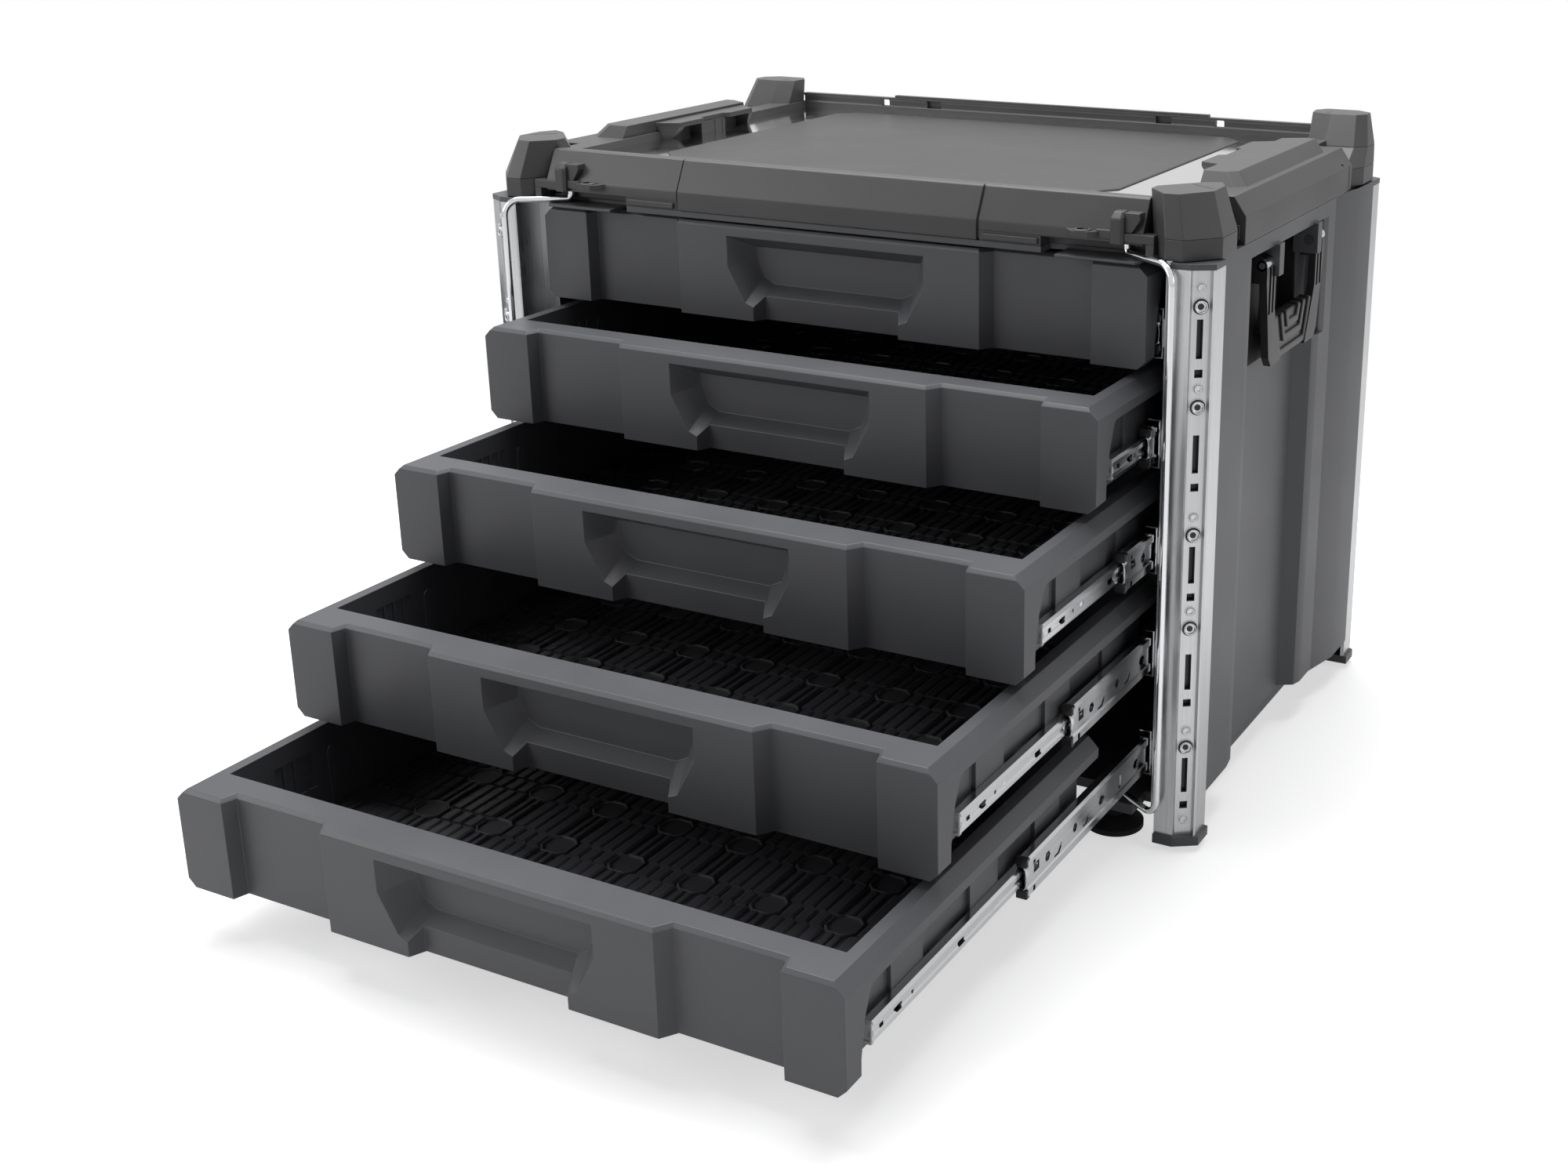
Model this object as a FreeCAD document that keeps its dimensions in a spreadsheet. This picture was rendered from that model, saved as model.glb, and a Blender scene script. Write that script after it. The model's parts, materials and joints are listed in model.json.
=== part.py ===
"""Stacking tool case with five telescopic drawers, two lock bails and two carry handles.

Frame: +Z up, +X to the right, drawer fronts towards -Y. The origin lies on the floor below the
centre of the case, so the drawers stand forward of it as far as their rest openings say.
"""
import FreeCAD, Part
import math
import os
import re

import Sketcher
from FreeCAD import Placement, Rotation, Vector

DRAWERS = 5

# Driving sizes in millimetres (angles in degrees), each written once.
SIZES = {
    "case_width": 596, "case_depth": 392, "body_height": 423.6, "base_level": 25,
    "base_thick": 8, "roof_gap": 8.6, "roof_thick": 4.6, "sheet": 4,
    "side_margin": 48, "face_setback": 10, "face_gap": 9.4, "rear_gap": 46,
    "rest_1": 0, "rest_2": 78, "rest_3": 184, "rest_4": 296, "rest_5": 402,
    "middle_1": 0, "middle_2": 12, "middle_3": 50, "middle_4": 134, "middle_5": 201,
    "block_width": 40, "block_draft": 3, "face_recess": 10, "handle_half": 125.5,
    "handle_draft": 7, "rim_rise": 2.5, "rim_bevel": 7.6, "rim_width": 16, "front_deep": 30,
    "rim_skirt": 12, "panel_wall": 3, "front_wall": 4, "pad_long": 38, "floor_wall": 2.5,
    "pocket_half": 82.3, "pocket_deep": 20, "lip_half": 61, "mat_thick": 2,
    "slide_rise": 20.6, "outer_slide": 35, "middle_slide": 28, "inner_slide": 13.6,
    "slide_metal": 1.2, "slide_space": 13, "slide_setback": 23,
    "post_face": 14.5, "post_side": 19, "post_metal": 2.5, "post_foot": 11.5, "collar": 4.1,
    "cap_thick": 7, "cap_lip": 2, "slot_long": 26.5, "slot_wide": 4.2, "square_hole": 5.5,
    "bolt_head": 11.8, "screw_head": 7.4,
    "wall_inset": 4, "recess_deep": 14.5, "recess_front": 101, "recess_rear": 41,
    "pocket_rear": 60, "wall_foot": 32, "rear_foot": 16, "well_deep": 14, "well_wall": 2,
    "grip_centre": 8, "grip_span": 132, "grip_foot": 54, "grip_drop": 75, "grip_thick": 17,
    "hinge_drop": 23.6, "grip_arm": 15, "grip_pin": 4, "ear_thick": 10,
    "bail_wire": 5, "bail_reach": 51.3, "bail_turn": 33, "bail_bend": 13, "bail_side": 67,
    "bail_back": 20, "running_gap": 0.1, "seat_gap": 0.3,
    "foot_radius": 21.5, "foot_neck": 7, "foot_rise": 9, "rear_foot_back": 31,
    "frame_inset": 8, "ridge_rise": 14.8, "bar_rise": 36.7, "tray_rise": 30, "tray_thick": 4,
    "panel_rise": 34.4, "tower_skirt": 14, "tower_rise": 43.9, "rear_rise": 52, "skirt_half": 172,
    "eye_thick": 4, "eye_hole": 4,
}

# Places worked out from the driving sizes.
WORKED = {
    "half_width": "case_width / 2",
    "half_depth": "case_depth / 2",
    "face_half": "half_width - side_margin",
    "face_plane": "-(half_depth - face_setback)",
    "drawer_long": "case_depth - face_setback - rear_gap",
    "pitch": "(body_height - roof_gap - base_level) / %d" % DRAWERS,
    "face_high": "pitch - face_gap",
    "rim_inner": "face_half - rim_width",
    "side_plane": "face_half - 10",
    "floor_top": "-(face_high - 7)",
    "rail_back": "side_plane + slide_space",
    "slide_middle": "face_high - slide_rise",
    "web_plane": "rail_back + 3",
    "rail_front": "face_plane + slide_setback",
    "rail_long": "-2 * rail_front",
    "post_in": "half_width - 28.5",
    "post_step": "half_depth - 28",
    "web_end": "half_depth - 76",
    "wall_out": "half_width - wall_inset",
    "wall_deep": "wall_out - recess_deep",
    "bail_x": "half_width - bail_side",
    "bail_y": "-(half_depth - bail_back)",
    "bail_top": "body_height - 0.6",
    "bail_low": "base_level + seat_gap + bail_wire * 0.7",
    "bay_foot": "hinge_level - grip_drop - 2",
    "bay_head": "hinge_level + 12",
    "grip_end": "grip_span / 2",
    "hinge_x": "wall_deep + 11",
    "hinge_level": "body_height - hinge_drop",
    "ear_end": "grip_end - grip_arm - 2",
    "frame_out": "half_width - frame_inset",
    "channel_in": "post_in + post_face + 0.2",
    "channel_out": "half_width - 4",
    "channel_front": "-half_depth + 2.6",
    "channel_back": "-half_depth + 9.6",
}

doc = FreeCAD.newDocument("DrawerCase")
sheet = doc.addObject("Spreadsheet::Sheet", "Sizes")
for row, (alias, amount) in enumerate(SIZES.items(), start=1):
    sheet.set("A%d" % row, alias)
    sheet.set("B%d" % row, str(amount))
    sheet.setAlias("B%d" % row, alias)
doc.recompute()

parts = []


def formula(text):
    """Write a size formula in words as an expression on the sheet's cells."""
    def spell(match):
        word = match.group(0)
        if word in WORKED:
            return "(" + formula(WORKED[word]) + ")"
        return "Sizes." + word if word in SIZES else word
    return re.sub(r"[a-z]+(?:_[a-z0-9]+)*", spell, str(text))


def amount_of(text):
    """The present value of a size formula."""
    return float(sheet.evalExpression(formula(text)))


def bind(item, **sizes):
    """Bind properties of an object to size formulas; a double underscore stands for a dot."""
    for name, text in sizes.items():
        item.setExpression(name.replace("__", "."), formula(text))


def keep(item, label):
    """Name a finished sub-part and list it for export."""
    item.Label = label
    parts.append(item)
    return item


def start_body(label, kept=True):
    """A new body; the ones that are only halves of a pair aren't exported themselves."""
    body = doc.addObject("PartDesign::Body", label)
    return keep(body, label) if kept else body


def flip(points):
    """The same outline on the other side of the middle plane."""
    return [("-(%s)" % across, up) for across, up in reversed(points)]


def both(points):
    """A symmetric outline, from the points of its right half."""
    return points + flip(points)


def block(left, right, low, high):
    """A rectangle's corners."""
    return [(left, low), (right, low), (right, high), (left, high)]


def draw(body, plane, level, outlines, circles=()):
    """A sketch of closed outlines and circles, at a level along the plane's own world axis."""
    sketch = body.newObject("Sketcher::SketchObject", body.Name + "_sketch")
    base = next(item for item in body.Origin.OriginFeatures if item.Role == plane + "_Plane")
    sketch.AttachmentSupport = [(base, "")]
    sketch.MapMode = "FlatFace"
    sign = "-" if plane == "XZ" else ""
    bind(sketch, AttachmentOffset__Base__z="%s(%s)" % (sign, level))
    for points in outlines:
        first = sketch.GeometryCount
        count = len(points)
        spots = [Vector(amount_of(across), amount_of(up), 0) for across, up in points]
        for index in range(count):
            sketch.addGeometry(Part.LineSegment(spots[index], spots[(index + 1) % count]))
        for index in range(count):
            following = first + (index + 1) % count
            sketch.addConstraint(Sketcher.Constraint("Coincident", first + index, 2, following, 1))
        for index, (across, up) in enumerate(points):
            pin(sketch, first + index, 1, spots[index], across, up)
    for across, up, radius in circles:
        spot = Vector(amount_of(across), amount_of(up), 0)
        line = sketch.addGeometry(Part.Circle(spot, Vector(0, 0, 1), amount_of(radius)))
        pin(sketch, line, 3, spot, across, up)
        ring = sketch.addConstraint(Sketcher.Constraint("Radius", line, amount_of(radius)))
        sketch.setExpression("Constraints[%d]" % ring, formula(radius))
    return sketch


def pin(sketch, line, end, spot, across, up):
    """Bind one point of a sketch to its two size formulas."""
    for kind, present, text in (("DistanceX", spot.x, across), ("DistanceY", spot.y, up)):
        place = sketch.addConstraint(Sketcher.Constraint(kind, -1, 1, line, end, present))
        sketch.setExpression("Constraints[%d]" % place, formula(text))


def pad(body, plane, level, depth, *outlines, circles=()):
    """Material from a level, as deep as given, along the plane's world axis."""
    feature = body.newObject("PartDesign::Pad", body.Name + "_pad")
    feature.Profile = draw(body, plane, level, outlines, circles)
    feature.Reversed = plane == "XZ"
    bind(feature, Length=depth)
    doc.recompute()
    return feature


def pocket(body, plane, level, depth, *outlines, circles=()):
    """A cut from a level, as deep as given, along the plane's world axis."""
    feature = body.newObject("PartDesign::Pocket", body.Name + "_pocket")
    feature.Profile = draw(body, plane, level, outlines, circles)
    feature.Reversed = plane != "XZ"
    bind(feature, Length=depth)
    before = body.Shape.Volume
    doc.recompute()
    if body.Shape.Volume >= before:
        raise RuntimeError("a pocket in %s cuts nothing" % body.Label)
    return feature


def loft(body, kind, plane, level, points, far_level, far_points):
    """A straight-sided loft between two outlines, added or subtracted."""
    feature = body.newObject("PartDesign::%sLoft" % kind, body.Name + "_loft")
    feature.Profile = draw(body, plane, level, [points])
    feature.Sections = [draw(body, plane, far_level, [far_points])]
    feature.Ruled = True
    doc.recompute()
    return feature


def soften(body, kind, radius, chosen):
    """Chamfer or fillet the edges that a test picks, by their box."""
    tip = body.Tip
    edges = enumerate(tip.Shape.Edges, start=1)
    names = ["Edge%d" % number for number, edge in edges if chosen(edge.BoundBox)]
    feature = body.newObject("PartDesign::" + kind, body.Name + "_" + kind.lower())
    feature.Base = (tip, names)
    bind(feature, **{"Radius" if kind == "Fillet" else "Size": radius})
    doc.recompute()
    return feature


def mirror(source, normal, label=None):
    """A mirrored copy across a middle plane, kept when it has a label."""
    copy = doc.addObject("Part::Mirroring", (label or source.Name) + "_mirror")
    copy.Source = source
    copy.Normal = normal
    return keep(copy, label) if label else copy


def group(label, items):
    """Several solids kept as one sub-part."""
    compound = doc.addObject("Part::Compound", label)
    compound.Links = items
    return keep(compound, label)


def place(item, x="0", y="0", z="0"):
    """Bind an object's position."""
    bind(item, Placement__Base__x=x, Placement__Base__y=y, Placement__Base__z=z)
    return item


ACROSS = Vector(1, 0, 0)
ALONG = Vector(0, 1, 0)


# --- Case -------------------------------------------------------------------------------------

def wall_sheet(rear_step, lean, rear_end):
    """Plan of the folded side sheet: out, in behind the carry handle, out again to the rear."""
    outer = [
        ("wall_out", "-(half_depth - 27)"), ("wall_out", "-(recess_front + 14)"),
        ("wall_out - 2", "-recess_front"), ("wall_deep", "-(recess_front - 4)"),
        ("wall_deep", rear_step), ("wall_out - 2.5", "%s + %s" % (rear_step, lean)),
        ("wall_out", rear_end), ("wall_out", "85"),
        ("wall_out - 4", "90"), ("wall_out - 4", "half_depth - 27"),
    ]
    inner = [
        ("wall_out - 4 - sheet", "half_depth - 27"), ("wall_out - 4 - sheet", "85"),
        ("wall_out - sheet", "80"), ("wall_out - sheet", "%s + 2" % rear_end),
        ("wall_out - 2.5 - sheet", "%s + %s + 3" % (rear_step, lean)),
        ("wall_deep - sheet", "%s + 3" % rear_step), ("wall_deep - sheet", "-recess_front"),
        ("wall_out - 2 - sheet", "-(recess_front + 4)"),
        ("wall_out - sheet", "-(recess_front + 14)"), ("wall_out - sheet", "-(half_depth - 27)"),
    ]
    return outer + inner


def side_wall():
    """Right wall: lower sheet, upper sheet around the handle bay, bay floor, wells and ears."""
    wall = start_body("case_right_wall")
    lower = wall_sheet("recess_rear", "7", "recess_rear + 16")
    upper = wall_sheet("pocket_rear", "3", "pocket_rear + 8")
    pad(wall, "XY", "wall_foot", "bay_foot - wall_foot", lower)
    pad(wall, "XY", "bay_foot", "body_height - bay_foot", upper)
    bay = [
        ("wall_deep - sheet", "recess_rear"), ("wall_deep", "recess_rear"),
        ("wall_out - 2.5", "recess_rear + 7"), ("wall_out", "recess_rear + 16"),
        ("wall_out", "pocket_rear + 8"), ("wall_deep - sheet", "pocket_rear + 8"),
    ]
    pad(wall, "XY", "bay_foot - sheet", "sheet", bay)
    lintel = [
        ("wall_deep - sheet", "-(recess_front - 4)"), ("wall_out", "-(recess_front + 14)"),
        ("wall_out", "pocket_rear + 8"), ("wall_deep - sheet", "pocket_rear + 8"),
    ]
    pad(wall, "XY", "bay_head", "body_height - bay_head", lintel)
    for near, far, foot in (("-93", "-66", "bay_foot + 1"), ("-47", "37", "bay_foot + 22")):
        casing = block("%s - well_wall" % near, "%s + well_wall" % far, "%s - well_wall" % foot,
                       "bay_head - 1 + well_wall")
        pad(wall, "YZ", "wall_deep - well_deep - well_wall", "well_deep", casing)
        well = block(near, far, foot, "bay_head - 1")
        pocket(wall, "YZ", "wall_deep - well_deep", "well_deep + 1", well)
    ear = block("wall_deep - 1", "hinge_x + 7", "hinge_level - 10", "bay_head + 1")
    pad(wall, "XZ", "-(grip_centre + ear_end)", "ear_thick", ear)
    pad(wall, "XZ", "ear_end - grip_centre - ear_thick", "ear_thick", ear)
    bore = ("hinge_x", "hinge_level", "grip_pin + running_gap / 2")
    pocket(wall, "XZ", "-(grip_centre + ear_end) - 1", "2 * ear_end + 2", circles=[bore])
    toe = [("90", "wall_foot + 1"), ("half_depth - 27", "wall_foot + 1"),
           ("half_depth - 27", "rear_foot"), ("120", "rear_foot + 8")]
    pad(wall, "YZ", "wall_out - 4 - sheet", "sheet", toe)
    mirror(wall, ACROSS, "case_left_wall")


def back_wall():
    """Rear sheet between the rear posts, with five upright ribs."""
    back = start_body("case_back")
    spread = block("-post_in", "post_in", "wall_foot", "body_height")
    pad(back, "XZ", "half_depth - 8", "sheet", spread)
    ribs = [block("%d * pitch - 14" % turn, "%d * pitch + 14" % turn, "wall_foot + 12",
                  "body_height - 14") for turn in range(-2, 3)]
    pad(back, "XZ", "half_depth - 4", "4", *ribs)


def base_tray():
    """Floor plate between the posts, with a block over each foot and the lower bail bores."""
    base = start_body("base_tray")
    plan = both([
        ("web_plane", "-(half_depth - 31)"), ("web_plane", "-web_end"),
        ("wall_deep - sheet", "-web_end"), ("wall_deep - sheet", "web_end"),
        ("web_plane", "web_end"), ("web_plane", "half_depth - 31"),
    ])
    pad(base, "XY", "base_level - base_thick", "base_thick", plan)
    flange = block("wall_deep - sheet - 4", "wall_deep - sheet", "-web_end", "web_end")
    pad(base, "XY", "base_level", "wall_foot", flange, flip(flange))
    corner = block("bail_x - 19", "bail_x + 19", "bail_y - 13", "bail_y + 24")
    pad(base, "XY", "base_level - base_thick", "base_thick", corner, flip(corner))
    rear_edge = block("-(web_plane - 30)", "web_plane - 30", "half_depth - 32", "half_depth - 8")
    pad(base, "XY", "base_level - base_thick", "base_thick", rear_edge)
    joint = block("-(web_plane - 30)", "web_plane - 30", "half_depth - 12", "half_depth - 8")
    pad(base, "XY", "base_level", "wall_foot - base_level + 20", joint)
    bores = [("bail_x", "bail_y", "bail_wire / 2 + running_gap"),
             ("-bail_x", "bail_y", "bail_wire / 2 + running_gap")]
    pocket(base, "XY", "base_level - base_thick + 1", "base_thick", circles=bores)


def case_roof():
    """Top plate with its front lip and the two tabs under the bail arms."""
    roof = start_body("case_roof")
    plan = both([
        ("skirt_half", "face_plane + 0.8"), ("skirt_half", "bail_y + 6"),
        ("web_plane", "bail_y + 12"), ("web_plane", "half_depth - 8"),
    ])
    pad(roof, "XY", "body_height - roof_thick", "roof_thick", plan)
    tab = [
        ("skirt_half + 12", "bail_y - 14"), ("skirt_half + 70", "bail_y - 14"),
        ("skirt_half + 73", "bail_y - 10"), ("skirt_half + 73", "bail_y + 16"),
        ("skirt_half + 12", "bail_y + 16"),
    ]
    pad(roof, "XY", "bail_top - bail_wire / 2 - seat_gap - 2", "2", tab, flip(tab))


def corner_post():
    """Folded aluminium section: front rib, slanted screw channel, side rib and inner rail web."""
    post = start_body("post_front_right")
    front = "-half_depth"
    metal = "post_metal"
    outline = [
        ("post_in", front), ("post_in + post_face", front),
        ("channel_in", "channel_front"), ("channel_out", "channel_back"),
        ("half_width - 1", front + " + 6.8"), ("half_width", front + " + 8"),
        ("half_width", front + " + 8 + post_side"),
        ("half_width - 3", front + " + 8 + post_side"), ("half_width - 3", front + " + 12"),
        ("half_width - 5.4", front + " + 11.6"),
        ("post_in + post_face - 0.8", front + " + 5.4"),
        ("post_in + post_face - 2", front + " + " + metal), ("post_in + " + metal, front + " + " + metal),
        ("post_in + " + metal, "-(post_step - %s)" % metal),
        ("web_plane + " + metal, "-(post_step - %s)" % metal),
        ("web_plane + " + metal, "-web_end"), ("web_plane", "-web_end"),
        ("web_plane", "-post_step"), ("post_in", "-post_step"),
    ]
    pad(post, "XY", "post_foot", "body_height - collar - post_foot", outline)
    channel_cuts(post)
    mirror(post, ACROSS, "post_front_left")
    mirror(post, ALONG, "post_rear_right")
    mirror(doc.getObject("post_front_left_mirror"), ALONG, "post_rear_left")


CHANNEL_MIDDLE = ("(channel_in + channel_out) / 2", "(channel_front + channel_back) / 2")


def channel_turn():
    """Angle in plan between the channel floor and the case front, in degrees."""
    rise = amount_of("channel_back - channel_front")
    return math.degrees(math.atan2(rise, amount_of("channel_out - channel_in")))


def hardware_levels(row):
    """Heights on the post for one drawer: slot top, square hole, bolt and screw."""
    slot_top = "body_height - 37 - %d * (pitch + 0.75)" % row
    lift = 8.7 if row % 2 == 0 else 19.5
    bolt = "%s + %s" % (slot_top, lift)
    return slot_top, "%s - slot_long - 10" % slot_top, bolt, "%s + 12.5" % bolt


def channel_cuts(post):
    """A slot and a square hole for each drawer, through the slanted channel floor."""
    shapes = []
    for row in range(DRAWERS):
        slot_top, square, _, _ = hardware_levels(row)
        shapes.append(block("-slot_wide / 2", "slot_wide / 2", "%s - slot_long" % slot_top, slot_top))
        shapes.append(block("-square_hole / 2", "square_hole / 2", "%s - square_hole / 2" % square,
                            "%s + square_hole / 2" % square))
    cut = post.newObject("PartDesign::Pocket", "post_channel_cut")
    cut.Profile = draw(post, "XZ", "0", shapes)
    sketch = cut.Profile[0]
    sketch.setExpression("AttachmentOffset.Base.z", None)
    sketch.AttachmentOffset = Placement(Vector(), Rotation(Vector(0, 1, 0), channel_turn()))
    across, along = CHANNEL_MIDDLE
    bind(sketch, AttachmentOffset__Base__x=across, AttachmentOffset__Base__z="-(%s)" % along)
    cut.Midplane = True
    bind(cut, Length="4 * post_metal")
    doc.recompute()


def post_ends():
    """Grey collar on top of each post and octagonal cap below it."""
    front = "-half_depth"
    outline = [
        ("post_in", front + " - 0.5"), ("post_in + post_face", front + " - 0.5"),
        ("half_width + 0.5", front + " + 8"), ("half_width + 0.5", front + " + 8 + post_side"),
        ("post_in", front + " + 8 + post_side"),
    ]
    for label, level, thick in (("post_collars", "body_height - collar", "collar"),
                                ("post_caps", "post_foot - cap_thick", "cap_thick")):
        collar = start_body(label + "_one", kept=False)
        lip = "cap_lip" if label == "post_caps" else "0"
        wide = [
            (outline[0][0], outline[0][1] + " - " + lip), (outline[1][0], outline[1][1] + " - " + lip),
            (outline[2][0] + " + " + lip, outline[2][1]), (outline[3][0] + " + " + lip, outline[3][1]),
            outline[4],
        ]
        pad(collar, "XY", level, thick, wide)
        left = mirror(collar, ACROSS)
        group(label, [collar, left, mirror(collar, ALONG), mirror(left, ALONG)])


def fasteners():
    """Hexagon-socket bolts and small screws in the post channels, four posts alike."""
    across, along = (amount_of(text) for text in CHANNEL_MIDDLE)
    outward = Rotation(Vector(0, 0, 1), channel_turn()).multVec(Vector(0, -1, 0))
    floor = Vector(across, along, 0)
    bolts = []
    screws = []
    for row in range(DRAWERS):
        _, _, bolt, screw = hardware_levels(row)
        bolts.append(head(floor, outward, amount_of(bolt), amount_of("bolt_head"), 3.2, 6))
        screws.append(head(floor, outward, amount_of(screw), amount_of("screw_head"), 1.8, 3.2))
    lowest = amount_of("post_foot") + 12.5
    screws.append(head(floor, outward, lowest, amount_of("screw_head"), 1.8, 3.2))
    for label, pieces in (("post_bolts", bolts), ("post_screws", screws)):
        every = []
        for side in (1, -1):
            for end in (1, -1):
                every += [turned(piece, side, end) for piece in pieces]
        feature = doc.addObject("Part::Feature", label)
        feature.Shape = Part.makeCompound(every)
        keep(feature, label)


def head(floor, outward, level, width, rise, socket):
    """A fastener's head on the channel floor with a hexagonal socket."""
    seat = Vector(floor.x, floor.y, level)
    body = Part.makeCylinder(width / 2, rise, seat, outward)
    body = body.makeChamfer(0.5, [body.Edges[0]])
    corners = [FreeCAD.Rotation(outward, 60 * turn).multVec(Vector(0, 0, socket / 2))
               for turn in range(7)]
    rim = [seat + outward * (rise * 0.4) + corner for corner in corners]
    cut = Part.Face(Part.makePolygon(rim)).extrude(outward * rise)
    return body.cut(cut)


def turned(piece, side, end):
    """A piece moved to the post on the given side and end of the case."""
    moved = piece if side > 0 else piece.mirror(Vector(), ACROSS)
    return moved if end > 0 else moved.mirror(Vector(), ALONG)


def feet():
    """Four rubber feet: domed pad and neck under the base blocks."""
    pieces = []
    for number, (across, along) in enumerate((
            ("bail_x", "bail_y"), ("-bail_x", "bail_y"),
            ("bail_x", "half_depth - rear_foot_back"), ("-bail_x", "half_depth - rear_foot_back"))):
        foot = doc.addObject("Part::Cylinder", "foot_pad_%d" % number)
        bind(foot, Radius="foot_radius", Height="foot_rise * 0.45")
        dome = doc.addObject("Part::Cone", "foot_dome_%d" % number)
        bind(dome, Radius1="foot_radius", Radius2="foot_neck + 2", Height="foot_rise * 0.55")
        neck = doc.addObject("Part::Cylinder", "foot_neck_%d" % number)
        bind(neck, Radius="foot_neck", Height="base_level - base_thick - foot_rise")
        place(foot, across, along)
        place(dome, across, along, "foot_rise * 0.45")
        place(neck, across, along, "foot_rise")
        joined = doc.addObject("Part::MultiFuse", "foot_%d" % number)
        joined.Shapes = [foot, dome, neck]
        pieces.append(joined)
    group("rubber_feet", pieces)


# --- Top frame --------------------------------------------------------------------------------

def top_frame():
    """Black rim of the lid: tray floor, side ledges, stacking blocks and rear wall."""
    frame = start_body("top_frame")
    tray = "body_height + tray_rise"
    front = "-(half_depth - 30)"
    rear = "half_depth - 9"
    floor_plan = both([
        ("half_width - 51.5", front), ("half_width - 51.5", "-(half_depth - 74.5)"),
        ("frame_out - 24", "-(half_depth - 74.5)"), ("frame_out - 24", "half_depth - 74.5"),
        ("half_width - 51.5", "half_depth - 74.5"), ("half_width - 51.5", rear),
    ])
    pad(frame, "XY", tray + " - tray_thick", "tray_thick", floor_plan)
    ledge = [
        ("frame_out - 28", "body_height"), ("frame_out", "body_height"),
        ("frame_out", "body_height + 14"), ("frame_out - 10", tray), ("frame_out - 28", tray),
    ]
    pad(frame, "XZ", "-(half_depth - 74)", "case_depth - 148", ledge, flip(ledge))
    block_plan = [
        ("frame_out - 28", "-98"), ("wall_out - 9", "-98"), ("wall_out", "-89"),
        ("wall_out", "88"), ("wall_out - 9", "97"), ("frame_out - 28", "97"),
    ]
    pad(frame, "XY", "body_height", "39.4", block_plan, flip(block_plan))
    slope = [
        ("wall_out + 1", "body_height + 20"), ("wall_out + 1", "body_height + 41"),
        ("frame_out - 25", "body_height + 41"), ("frame_out - 25", "body_height + 39.4"),
    ]
    pocket(frame, "XZ", "-99", "197", slope, flip(slope))
    inner_right = [
        ("frame_out - 28", "-45"), ("frame_out - 49", "-45"), ("frame_out - 77", "-7"),
        ("frame_out - 78", "93"), ("frame_out - 59", "102"), ("frame_out - 28", "102"),
    ]
    inner_left = [
        ("-(frame_out - 28)", "-48"), ("-(frame_out - 45)", "-48"), ("-(frame_out - 45)", "85"),
        ("-(frame_out - 28)", "85"),
    ]
    pad(frame, "XY", tray, "7", inner_right, inner_left)
    back = both([("bail_x + 13", "half_depth - 9"), ("bail_x + 13", "half_depth - 3")])
    pad(frame, "XY", "body_height", "39.5", back)
    rise = both([("150", "half_depth - 9"), ("150", "half_depth - 3")])
    pad(frame, "XY", "body_height + 39.5", "2.2", rise)
    slots = [block("%d - 4" % middle, "%d + 4" % middle, tray + " + 2", "body_height + 37")
             for middle in (-160, 160)]
    pocket(frame, "XZ", "half_depth - 10", "9", *slots)


def front_bar():
    """Slanted front bar of the lid with padlock eyes and the upper bail bearings."""
    bar = start_body("front_bar")
    profile = [
        ("face_plane", "body_height"), ("face_plane + 0.6", "body_height + ridge_rise"),
        ("face_plane + 11.7", "body_height + bar_rise"), ("face_plane + 20", "body_height + bar_rise"),
        ("face_plane + 20", "body_height"),
    ]
    pad(bar, "YZ", "-(bail_x + 13)", "2 * bail_x + 26", profile)
    raised = [("face_plane - 1", "body_height - 1"), ("face_plane + 21", "body_height - 1"),
              ("face_plane + 21", "body_height + 6.6"), ("face_plane - 1", "body_height + 6.6")]
    pocket(bar, "YZ", "skirt_half", "bail_x + 17 - skirt_half", raised)
    pocket(bar, "YZ", "-(bail_x + 17)", "bail_x + 17 - skirt_half", raised)
    foot = block("skirt_half", "bail_x + 13", "face_plane + 16", "face_plane + 20")
    pad(bar, "XY", "body_height", "6.6", foot, flip(foot))
    nub = block("bail_x - 8", "bail_x + 5", "face_plane - 4", "face_plane + 4")
    pad(bar, "XY", "body_height + 7.4", "20.5", nub, flip(nub))
    step = block("bail_x + 6", "bail_x + 13", "face_plane - 1", "face_plane + 4")
    pad(bar, "XY", "body_height + 6.6", "8.5", step, flip(step))
    eye = [
        ("skirt_half + 18", "face_plane + 2"), ("skirt_half + 21", "face_plane - 4"),
        ("skirt_half + 26", "face_plane - 9"), ("skirt_half + 38", "face_plane - 9"),
        ("skirt_half + 43", "face_plane - 4"), ("skirt_half + 46", "face_plane + 2"),
    ]
    pad(bar, "XY", "body_height + 10.5", "eye_thick", eye, flip(eye))
    holes = [("skirt_half + 32", "face_plane - 3", "eye_hole"),
             ("-(skirt_half + 32)", "face_plane - 3", "eye_hole")]
    pocket(bar, "XY", "body_height + 10", "eye_thick + 1", circles=holes)
    bores = [("bail_x", "bail_y", "bail_wire / 2 + running_gap"),
             ("-bail_x", "bail_y", "bail_wire / 2 + running_gap")]
    pocket(bar, "XY", "body_height + 6", "17", circles=bores)


def lid_panel():
    """Raised eight-cornered panel in the middle of the lid."""
    panel = start_body("lid_panel")
    plan = both([
        ("185", "-(half_depth - 48)"), ("207", "-(half_depth - 67)"), ("191.5", "half_depth - 79"),
        ("171", "half_depth - 56"),
    ])
    pad(panel, "XY", "body_height + tray_rise", "panel_rise - tray_rise", plan)
    top = amount_of("body_height + panel_rise")
    soften(panel, "Chamfer", "1.5", lambda box: box.ZMin > top - 0.01)


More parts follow.
